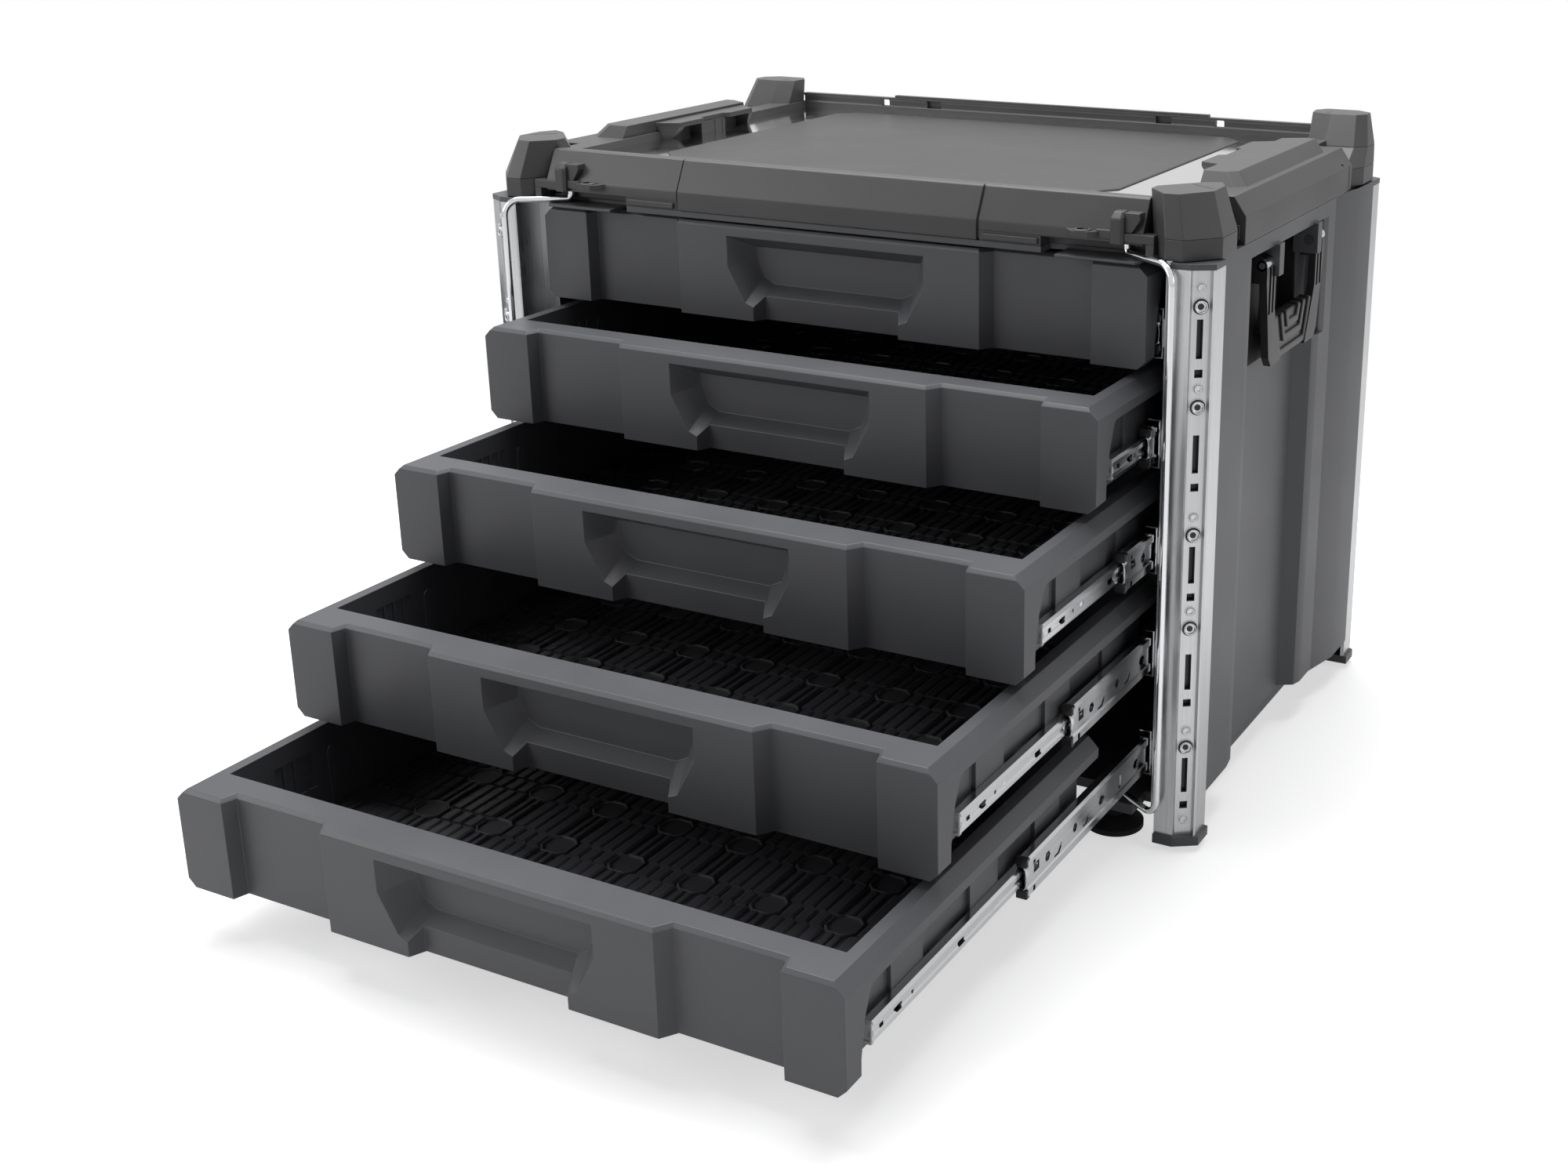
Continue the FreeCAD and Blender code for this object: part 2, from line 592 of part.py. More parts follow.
def corner_tower(label, rise, back, kept):
    """Eight-sided corner tower: upright skirt and tapered top, its crown set back or forward."""
    tower = start_body(label, kept)
    skirt = [
        ("half_width - 48", "-(half_depth - 18)"), ("half_width - 33.4", "-(half_depth - 2)"),
        ("half_width - 20.6", "-(half_depth - 1.2)"), ("half_width - 1.3", "-(half_depth - 23)"),
        ("half_width - 1.3", "-(half_depth - 50)"), ("half_width - 10", "-(half_depth - 73)"),
        ("half_width - 36", "-(half_depth - 74)"), ("half_width - 48", "-(half_depth - 62)"),
    ]
    crown = [
        ("half_width - 53", 25), ("half_width - 39", 9.5), ("half_width - 27.5", 10),
        ("half_width - 11.5", 31), ("half_width - 12", 54), ("half_width - 20", 66),
        ("half_width - 43", 70), ("half_width - 53", 60),
    ]
    top = [(across, "-(half_depth - %s)" % (along - back)) for across, along in crown]
    pad(tower, "XY", "body_height + 0.4", "tower_skirt", skirt)
    loft(tower, "Additive", "XY", "body_height + 0.4 + tower_skirt", skirt,
         "body_height + %s" % rise, top)
    return tower


def corner_towers():
    """The four towers; the rear ones stand higher, with their crowns nearer the back."""
    front = corner_tower("tower_front_right", "tower_rise", 0, True)
    mirror(front, ACROSS, "tower_front_left")
    rear = corner_tower("tower_rear_form", "rear_rise", 8, False)
    mirror(rear, ALONG, "tower_rear_right")
    mirror(mirror(rear, ACROSS), ALONG, "tower_rear_left")


# --- Drawers ----------------------------------------------------------------------------------

def drawer(number):
    """One drawer, drawn about the top middle of its closed face and placed at its rest opening."""
    body = start_body("drawer_%d" % number)
    front_view = both([
        ("face_half - rim_bevel", "rim_rise"), ("face_half", "rim_rise - rim_bevel"),
        ("face_half", "-(face_high - 5.8)"), ("face_half - 5.8", "-face_high"),
    ][::-1])
    pad(body, "XZ", "0", "front_deep", front_view)
    rim_view = both([
        ("face_half", "-rim_skirt"), ("face_half", "rim_rise - rim_bevel"),
        ("face_half - rim_bevel", "rim_rise"),
    ])
    pad(body, "XZ", "front_deep", "drawer_long - front_deep", rim_view)
    tub = block("-(side_plane - 3)", "side_plane - 3", "front_deep", "drawer_long - 6")
    pad(body, "XY", "floor_top - floor_wall", "face_high - 7 - rim_skirt + floor_wall + 1", tub)
    inside = block("-rim_inner", "rim_inner", "front_deep", "drawer_long - 14")
    pocket(body, "XY", "floor_top", "face_high + 5", inside)
    face_steps(body)
    rear_draft(body)
    finger_pocket(body)
    slide_pads(body)
    wall_slots(body)
    edge = 0.02
    top = amount_of("rim_rise")
    reach = amount_of("face_recess")
    soften(body, "Chamfer", "rim_rise",
           lambda box: box.ZMin > top - edge and box.YMax < reach + edge and box.YMin > -edge)
    place(body, "0", "face_plane - rest_%d" % number, face_level(number))


def face_level(number):
    """Height of a drawer's face top, and so of everything drawn about it."""
    return "body_height - roof_gap - %d * pitch" % (number - 1)


def face_steps(body):
    """Two recessed panels between the corner blocks and the handle block."""
    panel = [
        ("handle_half", "-1"), ("handle_half", "0"), ("handle_half + handle_draft", "face_recess"),
        ("face_half - block_width - block_draft", "face_recess"), ("face_half - block_width", "0"),
        ("face_half - block_width", "-1"),
    ]
    pocket(body, "XY", "-face_high - 1", "face_high + rim_rise + 2", panel, flip(panel))
    hollow = [
        block("handle_half + 14", "face_half - block_width - 6", "face_recess + front_wall",
              "front_deep - 3"),
        block("pocket_half + 7", "handle_half - 5", "front_wall", "front_deep - 3"),
        block("face_half - block_width + 6", "face_half - front_wall - 6", "front_wall", "14"),
    ]
    mirrored = [flip(points) for points in hollow]
    pocket(body, "XY", "-face_high - 1", "face_high - 4", *hollow, *mirrored)


def rear_draft(body):
    """Corner blocks taper to the rear, and stay clear of the slides."""
    taper = [
        ("front_deep - 2", "-rim_skirt - 2"),
        ("slide_setback - 1.6", "-(slide_middle - outer_slide / 2 - 1.5)"),
        ("16.6", "-(slide_middle + 4)"), ("16", "-face_high - 1"), ("front_deep + 1", "-face_high - 1"),
        ("front_deep + 1", "-rim_skirt - 2"),
    ]
    pocket(body, "YZ", "side_plane - 3", "14", taper)
    pocket(body, "YZ", "-(side_plane + 11)", "14", taper)


def finger_pocket(body):
    """Slanted finger pocket in the handle block, open below in front of a recessed lip."""
    front = both([
        ("lip_half", "-(face_high - 10.6)"), ("pocket_half - 14.3", "-(face_high - 13.6)"),
        ("pocket_half", "-29"), ("pocket_half", "-6.6"),
    ])
    deep = both([
        ("pocket_half - 28.3", "-43.8"), ("pocket_half - 18.8", "-39"),
        ("pocket_half - 14", "-26"), ("pocket_half - 13.3", "-16.5"),
    ])
    loft(body, "Subtractive", "XZ", "0", front, "pocket_deep", deep)
    notch = both([("lip_half - 4.8", "face_recess"), ("lip_half", "0"), ("lip_half", "-1")][::-1])
    pocket(body, "XY", "-face_high - 1", "19", notch)


def slide_pads(body):
    """Raised pads on both sides that the slides are fixed to."""
    pads = []
    for share in (0.18, 0.5, 0.8):
        start = "front_deep + 1 + (drawer_long - front_deep) * %s" % share
        pads.append(block("%s - pad_long / 2" % start, "%s + pad_long / 2" % start,
                          "floor_top + 1", "-rim_skirt"))
    pad(body, "YZ", "side_plane - 3.2", "3.2", *pads)
    pad(body, "YZ", "-side_plane", "3.2", *pads)


def wall_slots(body):
    """Four upright slots inside each side wall, near the front."""
    slots = [block("66 + %s" % (9.3 * turn), "73 + %s" % (9.3 * turn), "-39", "-rim_skirt")
             for turn in range(4)]
    pocket(body, "YZ", "rim_inner - 1", "2.4", *slots)
    pocket(body, "YZ", "-(rim_inner + 1.4)", "2.4", *slots)


def drawer_mat(number):
    """Grip mat lying on a drawer's floor."""
    mat = start_body("drawer_mat_%d" % number)
    plan = block("-(rim_inner - 1)", "rim_inner - 1", "front_deep + 1", "drawer_long - 15")
    pad(mat, "XY", "floor_top", "mat_thick", plan)
    place(mat, "0", "face_plane - rest_%d" % number, face_level(number))


def channel_profile(back, depth, tall, lift):
    """Section of a slide member, open to one side: back plate and two flanges."""
    high = "%s + %s / 2" % (lift, tall)
    low = "%s - %s / 2" % (lift, tall)
    sign = "+" if not depth.startswith("-") else ""
    rim = "%s %s %s" % (back, sign, depth)
    skin = "%s %s slide_metal" % (back, "+" if sign else "-")
    return [
        (back, low), (rim, low), (rim, "%s + slide_metal" % low), (skin, "%s + slide_metal" % low),
        (skin, "%s - slide_metal" % high), (rim, "%s - slide_metal" % high), (rim, high),
        (back, high),
    ]


def slide_set(number):
    """Cabinet, middle and drawer member of one drawer's slides, with the ball cages."""
    middle = "-slide_middle"
    level = face_level(number)

    outer = start_body("outer_rail_%d" % number, kept=False)
    pad(outer, "XZ", "rail_front", "rail_long", channel_profile("rail_back", "-9.2", "outer_slide", middle))
    seat = block("rail_back", "web_plane", "%s - 10" % middle, "%s + 10" % middle)
    pad(outer, "XZ", "rail_front + 2", "34", seat)
    pad(outer, "XZ", "-rail_front - 36", "34", seat)
    place(outer, z=level)
    group("cabinet_rails_%d" % number, [outer, mirror(outer, ACROSS)])

    centre = start_body("centre_rail_%d" % number, kept=False)
    pad(centre, "XZ", "rail_front", "rail_long - 12",
        channel_profile("rail_back - 1.8", "-7", "middle_slide", middle))
    windows = [block("rail_front + 40 + %d" % start, "rail_front + 62 + %d" % start,
                     "%s - 4" % middle, "%s + 4" % middle) for start in (0, 60, 120, 180)]
    pocket(centre, "YZ", "rail_back - 5", "4", *windows)
    place(centre, y="-middle_%d" % number, z=level)
    group("middle_rails_%d" % number, [centre, mirror(centre, ACROSS)])

    cage = start_body("cage_%d" % number, kept=False)
    roof = "%s + middle_slide / 2 - slide_metal - 0.3" % middle
    bed = "%s - middle_slide / 2 + slide_metal + 0.3" % middle
    upper = block("side_plane + 4.2", "side_plane + 8.4", "%s + inner_slide / 2 + 0.6" % middle, roof)
    lower = block("side_plane + 4.2", "side_plane + 8.4", bed, "%s - inner_slide / 2 - 0.6" % middle)
    pad(cage, "XZ", "rail_front + 1", "24", upper, lower)
    link = block("side_plane + 8", "side_plane + 9.6", bed, roof)
    pad(cage, "XZ", "rail_front + 1", "6", link)
    place(cage, y="-middle_%d" % number, z=level)
    group("ball_cages_%d" % number, [cage, mirror(cage, ACROSS)])

    inner = start_body("inner_rail_%d" % number, kept=False)
    pad(inner, "XZ", "face_plane + front_deep + 3", "drawer_long - front_deep - 12",
        channel_profile("side_plane", "7", "inner_slide", middle))
    place(inner, y="-rest_%d" % number, z=level)
    group("drawer_rails_%d" % number, [inner, mirror(inner, ACROSS)])


# --- Bails and handles ------------------------------------------------------------------------

def lock_bail():
    """Wire lock bail: pin in the front bar, arm, long upright, lower arm and pin in the base."""
    bail = start_body("lock_bail_right")
    path = bail.newObject("Sketcher::SketchObject", "bail_path")
    base = next(item for item in bail.Origin.OriginFeatures if item.Role == "XZ_Plane")
    path.AttachmentSupport = [(base, "")]
    path.MapMode = "FlatFace"
    corners = [
        ("0", "bail_low - bail_wire / 2 - 5"), ("0", "bail_low"), ("bail_reach", "bail_low"),
        ("bail_reach", "bail_top"), ("0", "bail_top"), ("0", "bail_top + 20"),
    ]
    bends = ["bail_wire * 0.7", "bail_bend", "bail_bend", "bail_wire * 0.7"]
    spots = [Vector(amount_of(across), amount_of(up), 0) for across, up in corners]
    marks = []
    for index in range(1, len(spots) - 1):
        radius = amount_of(bends[index - 1])
        to_last = (spots[index - 1] - spots[index]).normalize()
        to_next = (spots[index + 1] - spots[index]).normalize()
        centre = spots[index] + (to_last + to_next) * radius
        middle = centre - (to_last + to_next).normalize() * radius
        marks.append((spots[index] + to_last * radius, middle, spots[index] + to_next * radius))
    start = spots[0]
    for first, middle, last in marks:
        path.addGeometry(Part.LineSegment(start, first))
        path.addGeometry(Part.Arc(first, middle, last))
        start = last
    path.addGeometry(Part.LineSegment(start, spots[-1]))
    path.addConstraint([Sketcher.Constraint("Block", line) for line in range(path.GeometryCount)])
    ring = draw(bail, "XY", corners[0][1], [], [("0", "0", "bail_wire / 2")])
    pipe = bail.newObject("PartDesign::AdditivePipe", "bail_pipe")
    pipe.Profile = ring
    pipe.Spine = (path, [])
    doc.recompute()
    bail.Placement = Placement(Vector(), Rotation(Vector(0, 0, 1), -amount_of("bail_turn")))
    place(bail, "bail_x", "bail_y")
    mirror(bail, ACROSS, "lock_bail_left")


def carry_handle():
    """Swinging U-shaped handle: two finned arms drawing in to a ribbed grip."""
    grip = start_body("carry_handle_right")
    foot = "grip_foot"
    arm = "grip_end - grip_arm"
    half = [
        (foot, "-(grip_drop - 7)"), ("grip_end", "-12"), ("grip_end", "10"), (arm, "10"),
        (arm, "-14"), ("grip_foot - grip_arm - 3", "-44"), ("grip_foot - grip_arm - 9", "-48"),
    ]
    outline = [("-(grip_foot - 6)", "-grip_drop"), ("grip_foot - 6", "-grip_drop")] + both(half)
    pad(grip, "YZ", "-grip_thick / 2", "grip_thick", outline)
    high = 10 - 0.01
    soften(grip, "Fillet", "grip_thick / 2 - 0.3",
           lambda box: box.ZMin > high and box.YLength > 3 and box.XLength < 0.01)
    fins = [block("grip_end - %s - 1.6" % start, "grip_end - %s" % start, "-24", "11")
            for start in ("3.4", "7.8")]
    pocket(grip, "YZ", "grip_thick / 2 - 4", "5", *fins, *[flip(points) for points in fins])
    bore = ("0", "0", "grip_pin + running_gap")
    pocket(grip, "XZ", "-(grip_end + 1)", "2 * grip_end + 2", circles=[bore])
    place(grip, "hinge_x", "-grip_centre", "hinge_level")
    mirror(grip, ACROSS, "carry_handle_left")


def handle_pins():
    """Fixed pins through the wall's ears that carry the handles."""
    pins = []
    for number, start in enumerate(("-(grip_centre + grip_end)", "ear_end - grip_centre - ear_thick")):
        stud = doc.addObject("Part::Cylinder", "handle_stud_%d" % number)
        bind(stud, Radius="grip_pin", Height="grip_arm + ear_thick + 2")
        stud.Placement = Placement(Vector(), Rotation(ACROSS, -90))
        place(stud, "hinge_x", start, "hinge_level")
        pins += [stud, mirror(stud, ACROSS)]
    group("handle_pins", pins)


side_wall()
back_wall()
base_tray()
case_roof()
corner_post()
post_ends()
fasteners()
feet()
top_frame()
front_bar()
lid_panel()
corner_towers()
for index in range(1, DRAWERS + 1):
    drawer(index)
    drawer_mat(index)
    slide_set(index)
lock_bail()
carry_handle()
handle_pins()

doc.recompute()
for item in doc.Objects:
    if "Invalid" in item.State or "Error" in item.State:
        raise RuntimeError("failed: %s %s" % (item.Label, item.State))
for item in parts:
    if item.Shape.isNull() or not item.Shape.isValid():
        raise RuntimeError("bad shape: %s" % item.Label)
os.makedirs("parts", exist_ok=True)
for item in parts:
    item.Shape.exportStep("parts/%s.step" % item.Label)
print(len(parts), "parts")
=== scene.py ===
"""Looks of a stacking drawer tool case: moulded plastic, extruded posts, zinc slides, chromed wire."""

import json
import math

import bmesh
import bpy
import numpy as np
from mathutils import Euler, Matrix, Vector


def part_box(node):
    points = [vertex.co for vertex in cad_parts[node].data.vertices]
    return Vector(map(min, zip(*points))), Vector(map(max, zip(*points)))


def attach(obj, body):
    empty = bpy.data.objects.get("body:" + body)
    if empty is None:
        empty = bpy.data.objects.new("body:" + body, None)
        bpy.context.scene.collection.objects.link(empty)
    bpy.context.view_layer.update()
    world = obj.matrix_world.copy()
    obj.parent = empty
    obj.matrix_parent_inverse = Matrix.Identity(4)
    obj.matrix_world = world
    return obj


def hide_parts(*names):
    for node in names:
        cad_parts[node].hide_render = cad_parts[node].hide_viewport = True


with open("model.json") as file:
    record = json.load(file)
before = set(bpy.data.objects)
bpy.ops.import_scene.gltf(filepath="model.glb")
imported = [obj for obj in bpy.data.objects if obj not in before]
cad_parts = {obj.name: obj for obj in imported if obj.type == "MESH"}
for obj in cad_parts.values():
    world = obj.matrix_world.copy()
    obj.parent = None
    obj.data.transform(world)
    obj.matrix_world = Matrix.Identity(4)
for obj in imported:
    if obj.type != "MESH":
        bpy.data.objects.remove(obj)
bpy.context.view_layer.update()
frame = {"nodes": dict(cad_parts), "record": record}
NODES = frame["nodes"]
SLOT_OF = {entry["node"]: entry["material_slot"] for entry in frame["record"]["subparts"]}
BODY_OF = {node: body for body, members in frame["record"]["behaviour"]["bodies"].items()
           for node in members}
MM = 0.001
DRAWERS = range(1, 6)


def limits(node):
    """A CAD node's lowest and highest corner at rest, in millimetres."""
    low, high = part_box(node)
    return Vector(low) / MM, Vector(high) / MM


# Top edge of the body, which carries the lid, and the front plane of a closed drawer.
BASE = round(limits("top_frame")[0].z, 1)
FACE = round(limits("drawer_1")[0].y, 1)


# --- Colours and nodes ------------------------------------

def linear(code):
    """An sRGB hex colour such as '#56575b' as linear RGBA."""
    parts = [int(code[start:start + 2], 16) / 255 for start in (1, 3, 5)]
    return [part / 12.92 if part <= 0.04045 else ((part + 0.055) / 1.055) ** 2.4
            for part in parts] + [1]


def add(tree, kind, settings=None, **links):
    """One node: its settings by property, input name or number, its links by input name or i0, i1..."""
    node = tree.nodes.new(kind)
    for name, value in (settings or {}).items():
        if isinstance(name, int) or name in node.inputs:
            node.inputs[name].default_value = value
        else:
            setattr(node, name, value)
    for name, source in links.items():
        numbered = name[0] == "i" and name[1:].isdigit()
        tree.links.new(source, node.inputs[int(name[1:]) if numbered else name.replace("_", " ")])
    return node


# A noise pattern's values lie mostly between these two, so they are spread over the whole range.
NOISE_BAND = {"From Min": 0.3, "From Max": 0.7}
# Width in millimetres of the cloudy patches that handling leaves on a moulded face and on metal.
CLOUD = 90
METAL_CLOUD = 45


def begin(name, even):
    """A material with its tree, object coordinates and main shader, its even values set."""
    material = bpy.data.materials.new(name)
    material.use_nodes = True
    tree = material.node_tree
    tree.nodes.clear()
    place = add(tree, "ShaderNodeTexCoord").outputs["Object"]
    shader = add(tree, "ShaderNodeBsdfPrincipled", even)
    add(tree, "ShaderNodeOutputMaterial", Surface=shader.outputs["BSDF"])
    return material, tree, place, shader


def moulded(name, dark, light, rough, grain_mm, grain_depth, gloss=0.5):
    """Injection-moulded plastic: a spark-eroded grain, faint cloudy sheen and little colour change.

    The real grain is about a tenth of a millimetre wide, too fine to show, so it is drawn coarser.
    """
    material, tree, place, shader = begin(name, {"IOR": 1.49, "Specular IOR Level": gloss})
    cloud = add(tree, "ShaderNodeTexNoise", {"Scale": 1 / (CLOUD * MM), "Detail": 3.0}, Vector=place)
    patch = add(tree, "ShaderNodeMapRange", NOISE_BAND, Value=cloud.outputs["Fac"]).outputs["Result"]
    colour = add(tree, "ShaderNodeMix", {"data_type": "RGBA", 6: linear(dark), 7: linear(light)},
                 i0=patch)
    tree.links.new(colour.outputs[2], shader.inputs["Base Color"])
    sheen = add(tree, "ShaderNodeMapRange", {"To Min": rough - 0.05, "To Max": rough + 0.05},
                Value=patch)
    tree.links.new(sheen.outputs["Result"], shader.inputs["Roughness"])
    grain = add(tree, "ShaderNodeTexNoise", {"Scale": 1 / (grain_mm * MM), "Roughness": 0.6},
                Vector=place)
    bump = add(tree, "ShaderNodeBump", {"Strength": 0.35, "Distance": grain_depth * MM},
               Height=grain.outputs["Fac"])
    tree.links.new(bump.outputs["Normal"], shader.inputs["Normal"])
    return material


def grey_polypropylene():
    """Slate grey glass-filled polypropylene, satin from a fine spark-eroded mould."""
    return moulded("slate_grey_polypropylene", "#56575b", "#5c5d61", 0.44, 0.9, 0.05)


def black_polypropylene():
    """Black polypropylene of the lid, a little glossier than the grey body."""
    return moulded("black_polypropylene", "#424243", "#4a4a4b", 0.4, 1.1, 0.05)


def lid_panel_plastic():
    """Black panel plastic with a satin etched face that picks up the light above it."""
    return moulded("etched_panel_plastic", "#2e2e2f", "#343435", 0.42, 0.8, 0.04)


def black_nylon():
    """Black nylon of handles and ball cages, semi-gloss."""
    return moulded("black_nylon", "#242425", "#2a2a2b", 0.36, 1.4, 0.04)


def mat_elastomer():
    """Grip mat: a smooth dark elastomer that shines on its raised rims."""
    return moulded("black_mat_elastomer", "#535357", "#5d5d62", 0.3, 2.5, 0.03)


def white_acetal():
    """White acetal bumpers of the slides, smooth and slightly waxy."""
    return moulded("white_acetal", "#d4d5d6", "#dedfe0", 0.4, 1.0, 0.02)


def foot_rubber():
    """Matt black moulded rubber with faint dusty patches."""
    return moulded("black_rubber", "#121212", "#1b1b1b", 0.75, 0.8, 0.06, 0.35)


def brushed(name, dull, bright, rough, stretch, line_mm, depth):
    """Metal with fine lines along one axis: drawn, extruded or rolled.

    Real die lines are a few hundredths of a millimetre apart and are drawn coarser, so they show.
    """
    material, tree, place, shader = begin(name, {"Metallic": 1.0})
    mapping = add(tree, "ShaderNodeMapping", {"Scale": stretch}, Vector=place)
    lines = add(tree, "ShaderNodeTexNoise",
                {"Scale": 1 / (line_mm * MM), "Detail": 3.0, "Roughness": 0.6},
                Vector=mapping.outputs["Vector"])
    streak = add(tree, "ShaderNodeMapRange", NOISE_BAND, Value=lines.outputs["Fac"]).outputs["Result"]
    colour = add(tree, "ShaderNodeMix", {"data_type": "RGBA", 6: linear(dull), 7: linear(bright)},
                 i0=streak)
    tree.links.new(colour.outputs[2], shader.inputs["Base Color"])
    scratched = add(tree, "ShaderNodeMapRange", {"To Min": -0.02, "To Max": 0.03}, Value=streak)
    cloud = add(tree, "ShaderNodeTexNoise", {"Scale": 1 / (METAL_CLOUD * MM)}, Vector=place)
    handled = add(tree, "ShaderNodeMapRange",
                  {**NOISE_BAND, "To Min": rough - 0.03, "To Max": rough + 0.04},
                  Value=cloud.outputs["Fac"])
    both = add(tree, "ShaderNodeMath", {"operation": "ADD"}, i0=scratched.outputs["Result"],
               i1=handled.outputs["Result"])
    tree.links.new(both.outputs["Value"], shader.inputs["Roughness"])
    bump = add(tree, "ShaderNodeBump", {"Strength": 0.12, "Distance": depth * MM},
               Height=lines.outputs["Fac"])
    tree.links.new(bump.outputs["Normal"], shader.inputs["Normal"])
    return material


def post_aluminium():
    """Satin anodised aluminium extrusion with die lines along its height."""
    return brushed("anodised_aluminium", "#c0c1c2", "#cfd0d1", 0.3, (1, 1, 0.01), 0.9, 0.01)


def slide_zinc():
    """Bright zinc-plated steel of the slides, rolled along their length."""
    return brushed("zinc_plated_steel", "#cfd0d2", "#d8d9db", 0.17, (1, 0.01, 1), 2.4, 0.004)


def bolt_zinc():
    """Zinc-plated screw heads, turned and faintly mottled."""
    return brushed("turned_zinc", "#c9cacc", "#d6d7d9", 0.2, (1, 1, 1), 1.6, 0.01)


def chromed_wire():
    """Chrome-plated steel wire with the faint waviness of bent stock."""
    material, tree, place, shader = begin(
        "chromed_steel_wire", {"Metallic": 1.0, "Base Color": linear("#e6e7e9")})
    wave = add(tree, "ShaderNodeTexNoise", {"Scale": 1 / (14 * MM)}, Vector=place).outputs["Fac"]
    sheen = add(tree, "ShaderNodeMapRange", {**NOISE_BAND, "To Min": 0.05, "To Max": 0.12}, Value=wave)
    tree.links.new(sheen.outputs["Result"], shader.inputs["Roughness"])
    bump = add(tree, "ShaderNodeBump", {"Strength": 0.08, "Distance": 0.05 * MM}, Height=wave)
    tree.links.new(bump.outputs["Normal"], shader.inputs["Normal"])
    return material


def tray_mirror():
    """Polished steel sheet let into the tray of the lid, with faint cloudy wear."""
    material, tree, place, shader = begin(
        "polished_steel_sheet", {"Metallic": 1.0, "Base Color": linear("#e3e3e4")})
    wear = add(tree, "ShaderNodeTexNoise", {"Scale": 1 / (30 * MM), "Detail": 3.0}, Vector=place)
    sheen = add(tree, "ShaderNodeMapRange", {**NOISE_BAND, "To Min": 0.06, "To Max": 0.14},
                Value=wear.outputs["Fac"])
    tree.links.new(sheen.outputs["Result"], shader.inputs["Roughness"])
    return material


GREY = grey_polypropylene()
BLACK = black_polypropylene()
PANEL = lid_panel_plastic()
NYLON = black_nylon()
MAT = mat_elastomer()
ACETAL = white_acetal()
# The black rubber finish serves the feet, and also the painted shade in the handle wells.
RUBBER_AND_BAY_SHADE = foot_rubber()
POST = post_aluminium()
ZINC = slide_zinc()
BOLT = bolt_zinc()
CHROME = chromed_wire()
MIRROR = tray_mirror()

FINISHES = {
    "grey_shell": GREY, "grey_trim": GREY, "grey_drawer": GREY, "black_frame": BLACK,
    "black_bar": BLACK, "black_tower": BLACK, "black_panel": PANEL, "handle_black": NYLON,
    "cage_plastic": NYLON, "mat_rubber": MAT, "foot_rubber": RUBBER_AND_BAY_SHADE, "anodised_post": POST,
    "outer_rail": ZINC, "middle_rail": ZINC, "inner_rail": ZINC, "pin_steel": BOLT,
    "zinc_bolt": BOLT, "zinc_screw": BOLT, "bail_chrome": CHROME,
}


# --- Mesh helpers -----------------------------------------

def new_piece(name, mesh, material, body, replaced=()):
    """A finished mesh as an object that rides on a body and, if asked, stands for CAD nodes."""
    mesh = shaded(mesh)
    mesh.name = name
    mesh.materials.clear()
    mesh.materials.append(material)
    mesh.polygons.foreach_set("material_index", [0] * len(mesh.polygons))
    piece = bpy.data.objects.new(name, mesh)
    bpy.context.scene.collection.objects.link(piece)
    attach(piece, body)
    if replaced:
        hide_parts(*replaced)


def stand(mesh, name="working"):
    """A passing object for a mesh that modifiers are to work on."""
    piece = bpy.data.objects.new(name, mesh)
    bpy.context.scene.collection.objects.link(piece)
    return piece


def settle(piece):
    """The evaluated mesh of an object with modifiers; the object itself goes."""
    bpy.context.view_layer.update()
    graph = bpy.context.evaluated_depsgraph_get()
    mesh = bpy.data.meshes.new_from_object(piece.evaluated_get(graph), depsgraph=graph)
    bpy.data.objects.remove(piece)
    return mesh


def shaded(mesh):
    """A mesh whose smooth faces are shaded by their large neighbours, so flats look flat."""
    stale = mesh.attributes.get("custom_normal")
    if stale:
        mesh.attributes.remove(stale)
    piece = stand(mesh)
    weights = piece.modifiers.new("normals", "WEIGHTED_NORMAL")
    weights.keep_sharp = True
    return settle(piece)


def rounded(mesh, width, segments=2, limit=28):
    """A mesh whose edges sharper than a limit in degrees are rolled over, its faces set smooth."""
    piece = stand(mesh)
    bevel = piece.modifiers.new("edges", "BEVEL")
    bevel.width = width * MM
    bevel.segments = segments
    bevel.limit_method = "ANGLE"
    bevel.angle_limit = math.radians(limit)
    bevel.use_clamp_overlap = True
    mesh.shade_smooth()
    return settle(piece)


def cad_copy(node):
    """A CAD node's mesh with its loose triangles merged into flat faces."""
    mesh = NODES[node].data.copy()
    work = bmesh.new()
    work.from_mesh(mesh)
    bmesh.ops.remove_doubles(work, verts=work.verts, dist=0.01 * MM)
    bmesh.ops.dissolve_limit(work, angle_limit=math.radians(1.0), verts=work.verts, edges=work.edges)
    work.to_mesh(mesh)
    work.free()
    return mesh


def solid(*forms):
    """One mesh from closed forms, each a list of points in millimetres and a list of faces."""
    points, faces = [], []
    for spots, sides in forms:
        start = len(points)
        points += [(x * MM, y * MM, z * MM) for x, y, z in spots]
        faces += [[start + index for index in side] for side in sides]
    mesh = bpy.data.meshes.new("form")
    mesh.from_pydata(points, [], faces)
    work = bmesh.new()
    work.from_mesh(mesh)
    bmesh.ops.recalc_face_normals(work, faces=work.faces)
    work.to_mesh(mesh)
    work.free()
    return mesh


def prism(outline, axis, low, high, far=None):
    """A closed prism along an axis between two levels, or a taper to a far outline of as many points."""
    def spot(first, second, level):
        return {"X": (level, first, second), "Y": (first, level, second),
                "Z": (first, second, level)}[axis]
    count = len(outline)
    points = [spot(*point, low) for point in outline]
    points += [spot(*point, high) for point in far or outline]
    sides = [[index, (index + 1) % count, count + (index + 1) % count, count + index]
             for index in range(count)]
    return points, sides + [list(range(count))[::-1], list(range(count, 2 * count))]


def cuboid(x, y, z):
    """A block between three pairs of limits."""
    return prism([(x[0], y[0]), (x[1], y[0]), (x[1], y[1]), (x[0], y[1])], "Z", z[0], z[1])


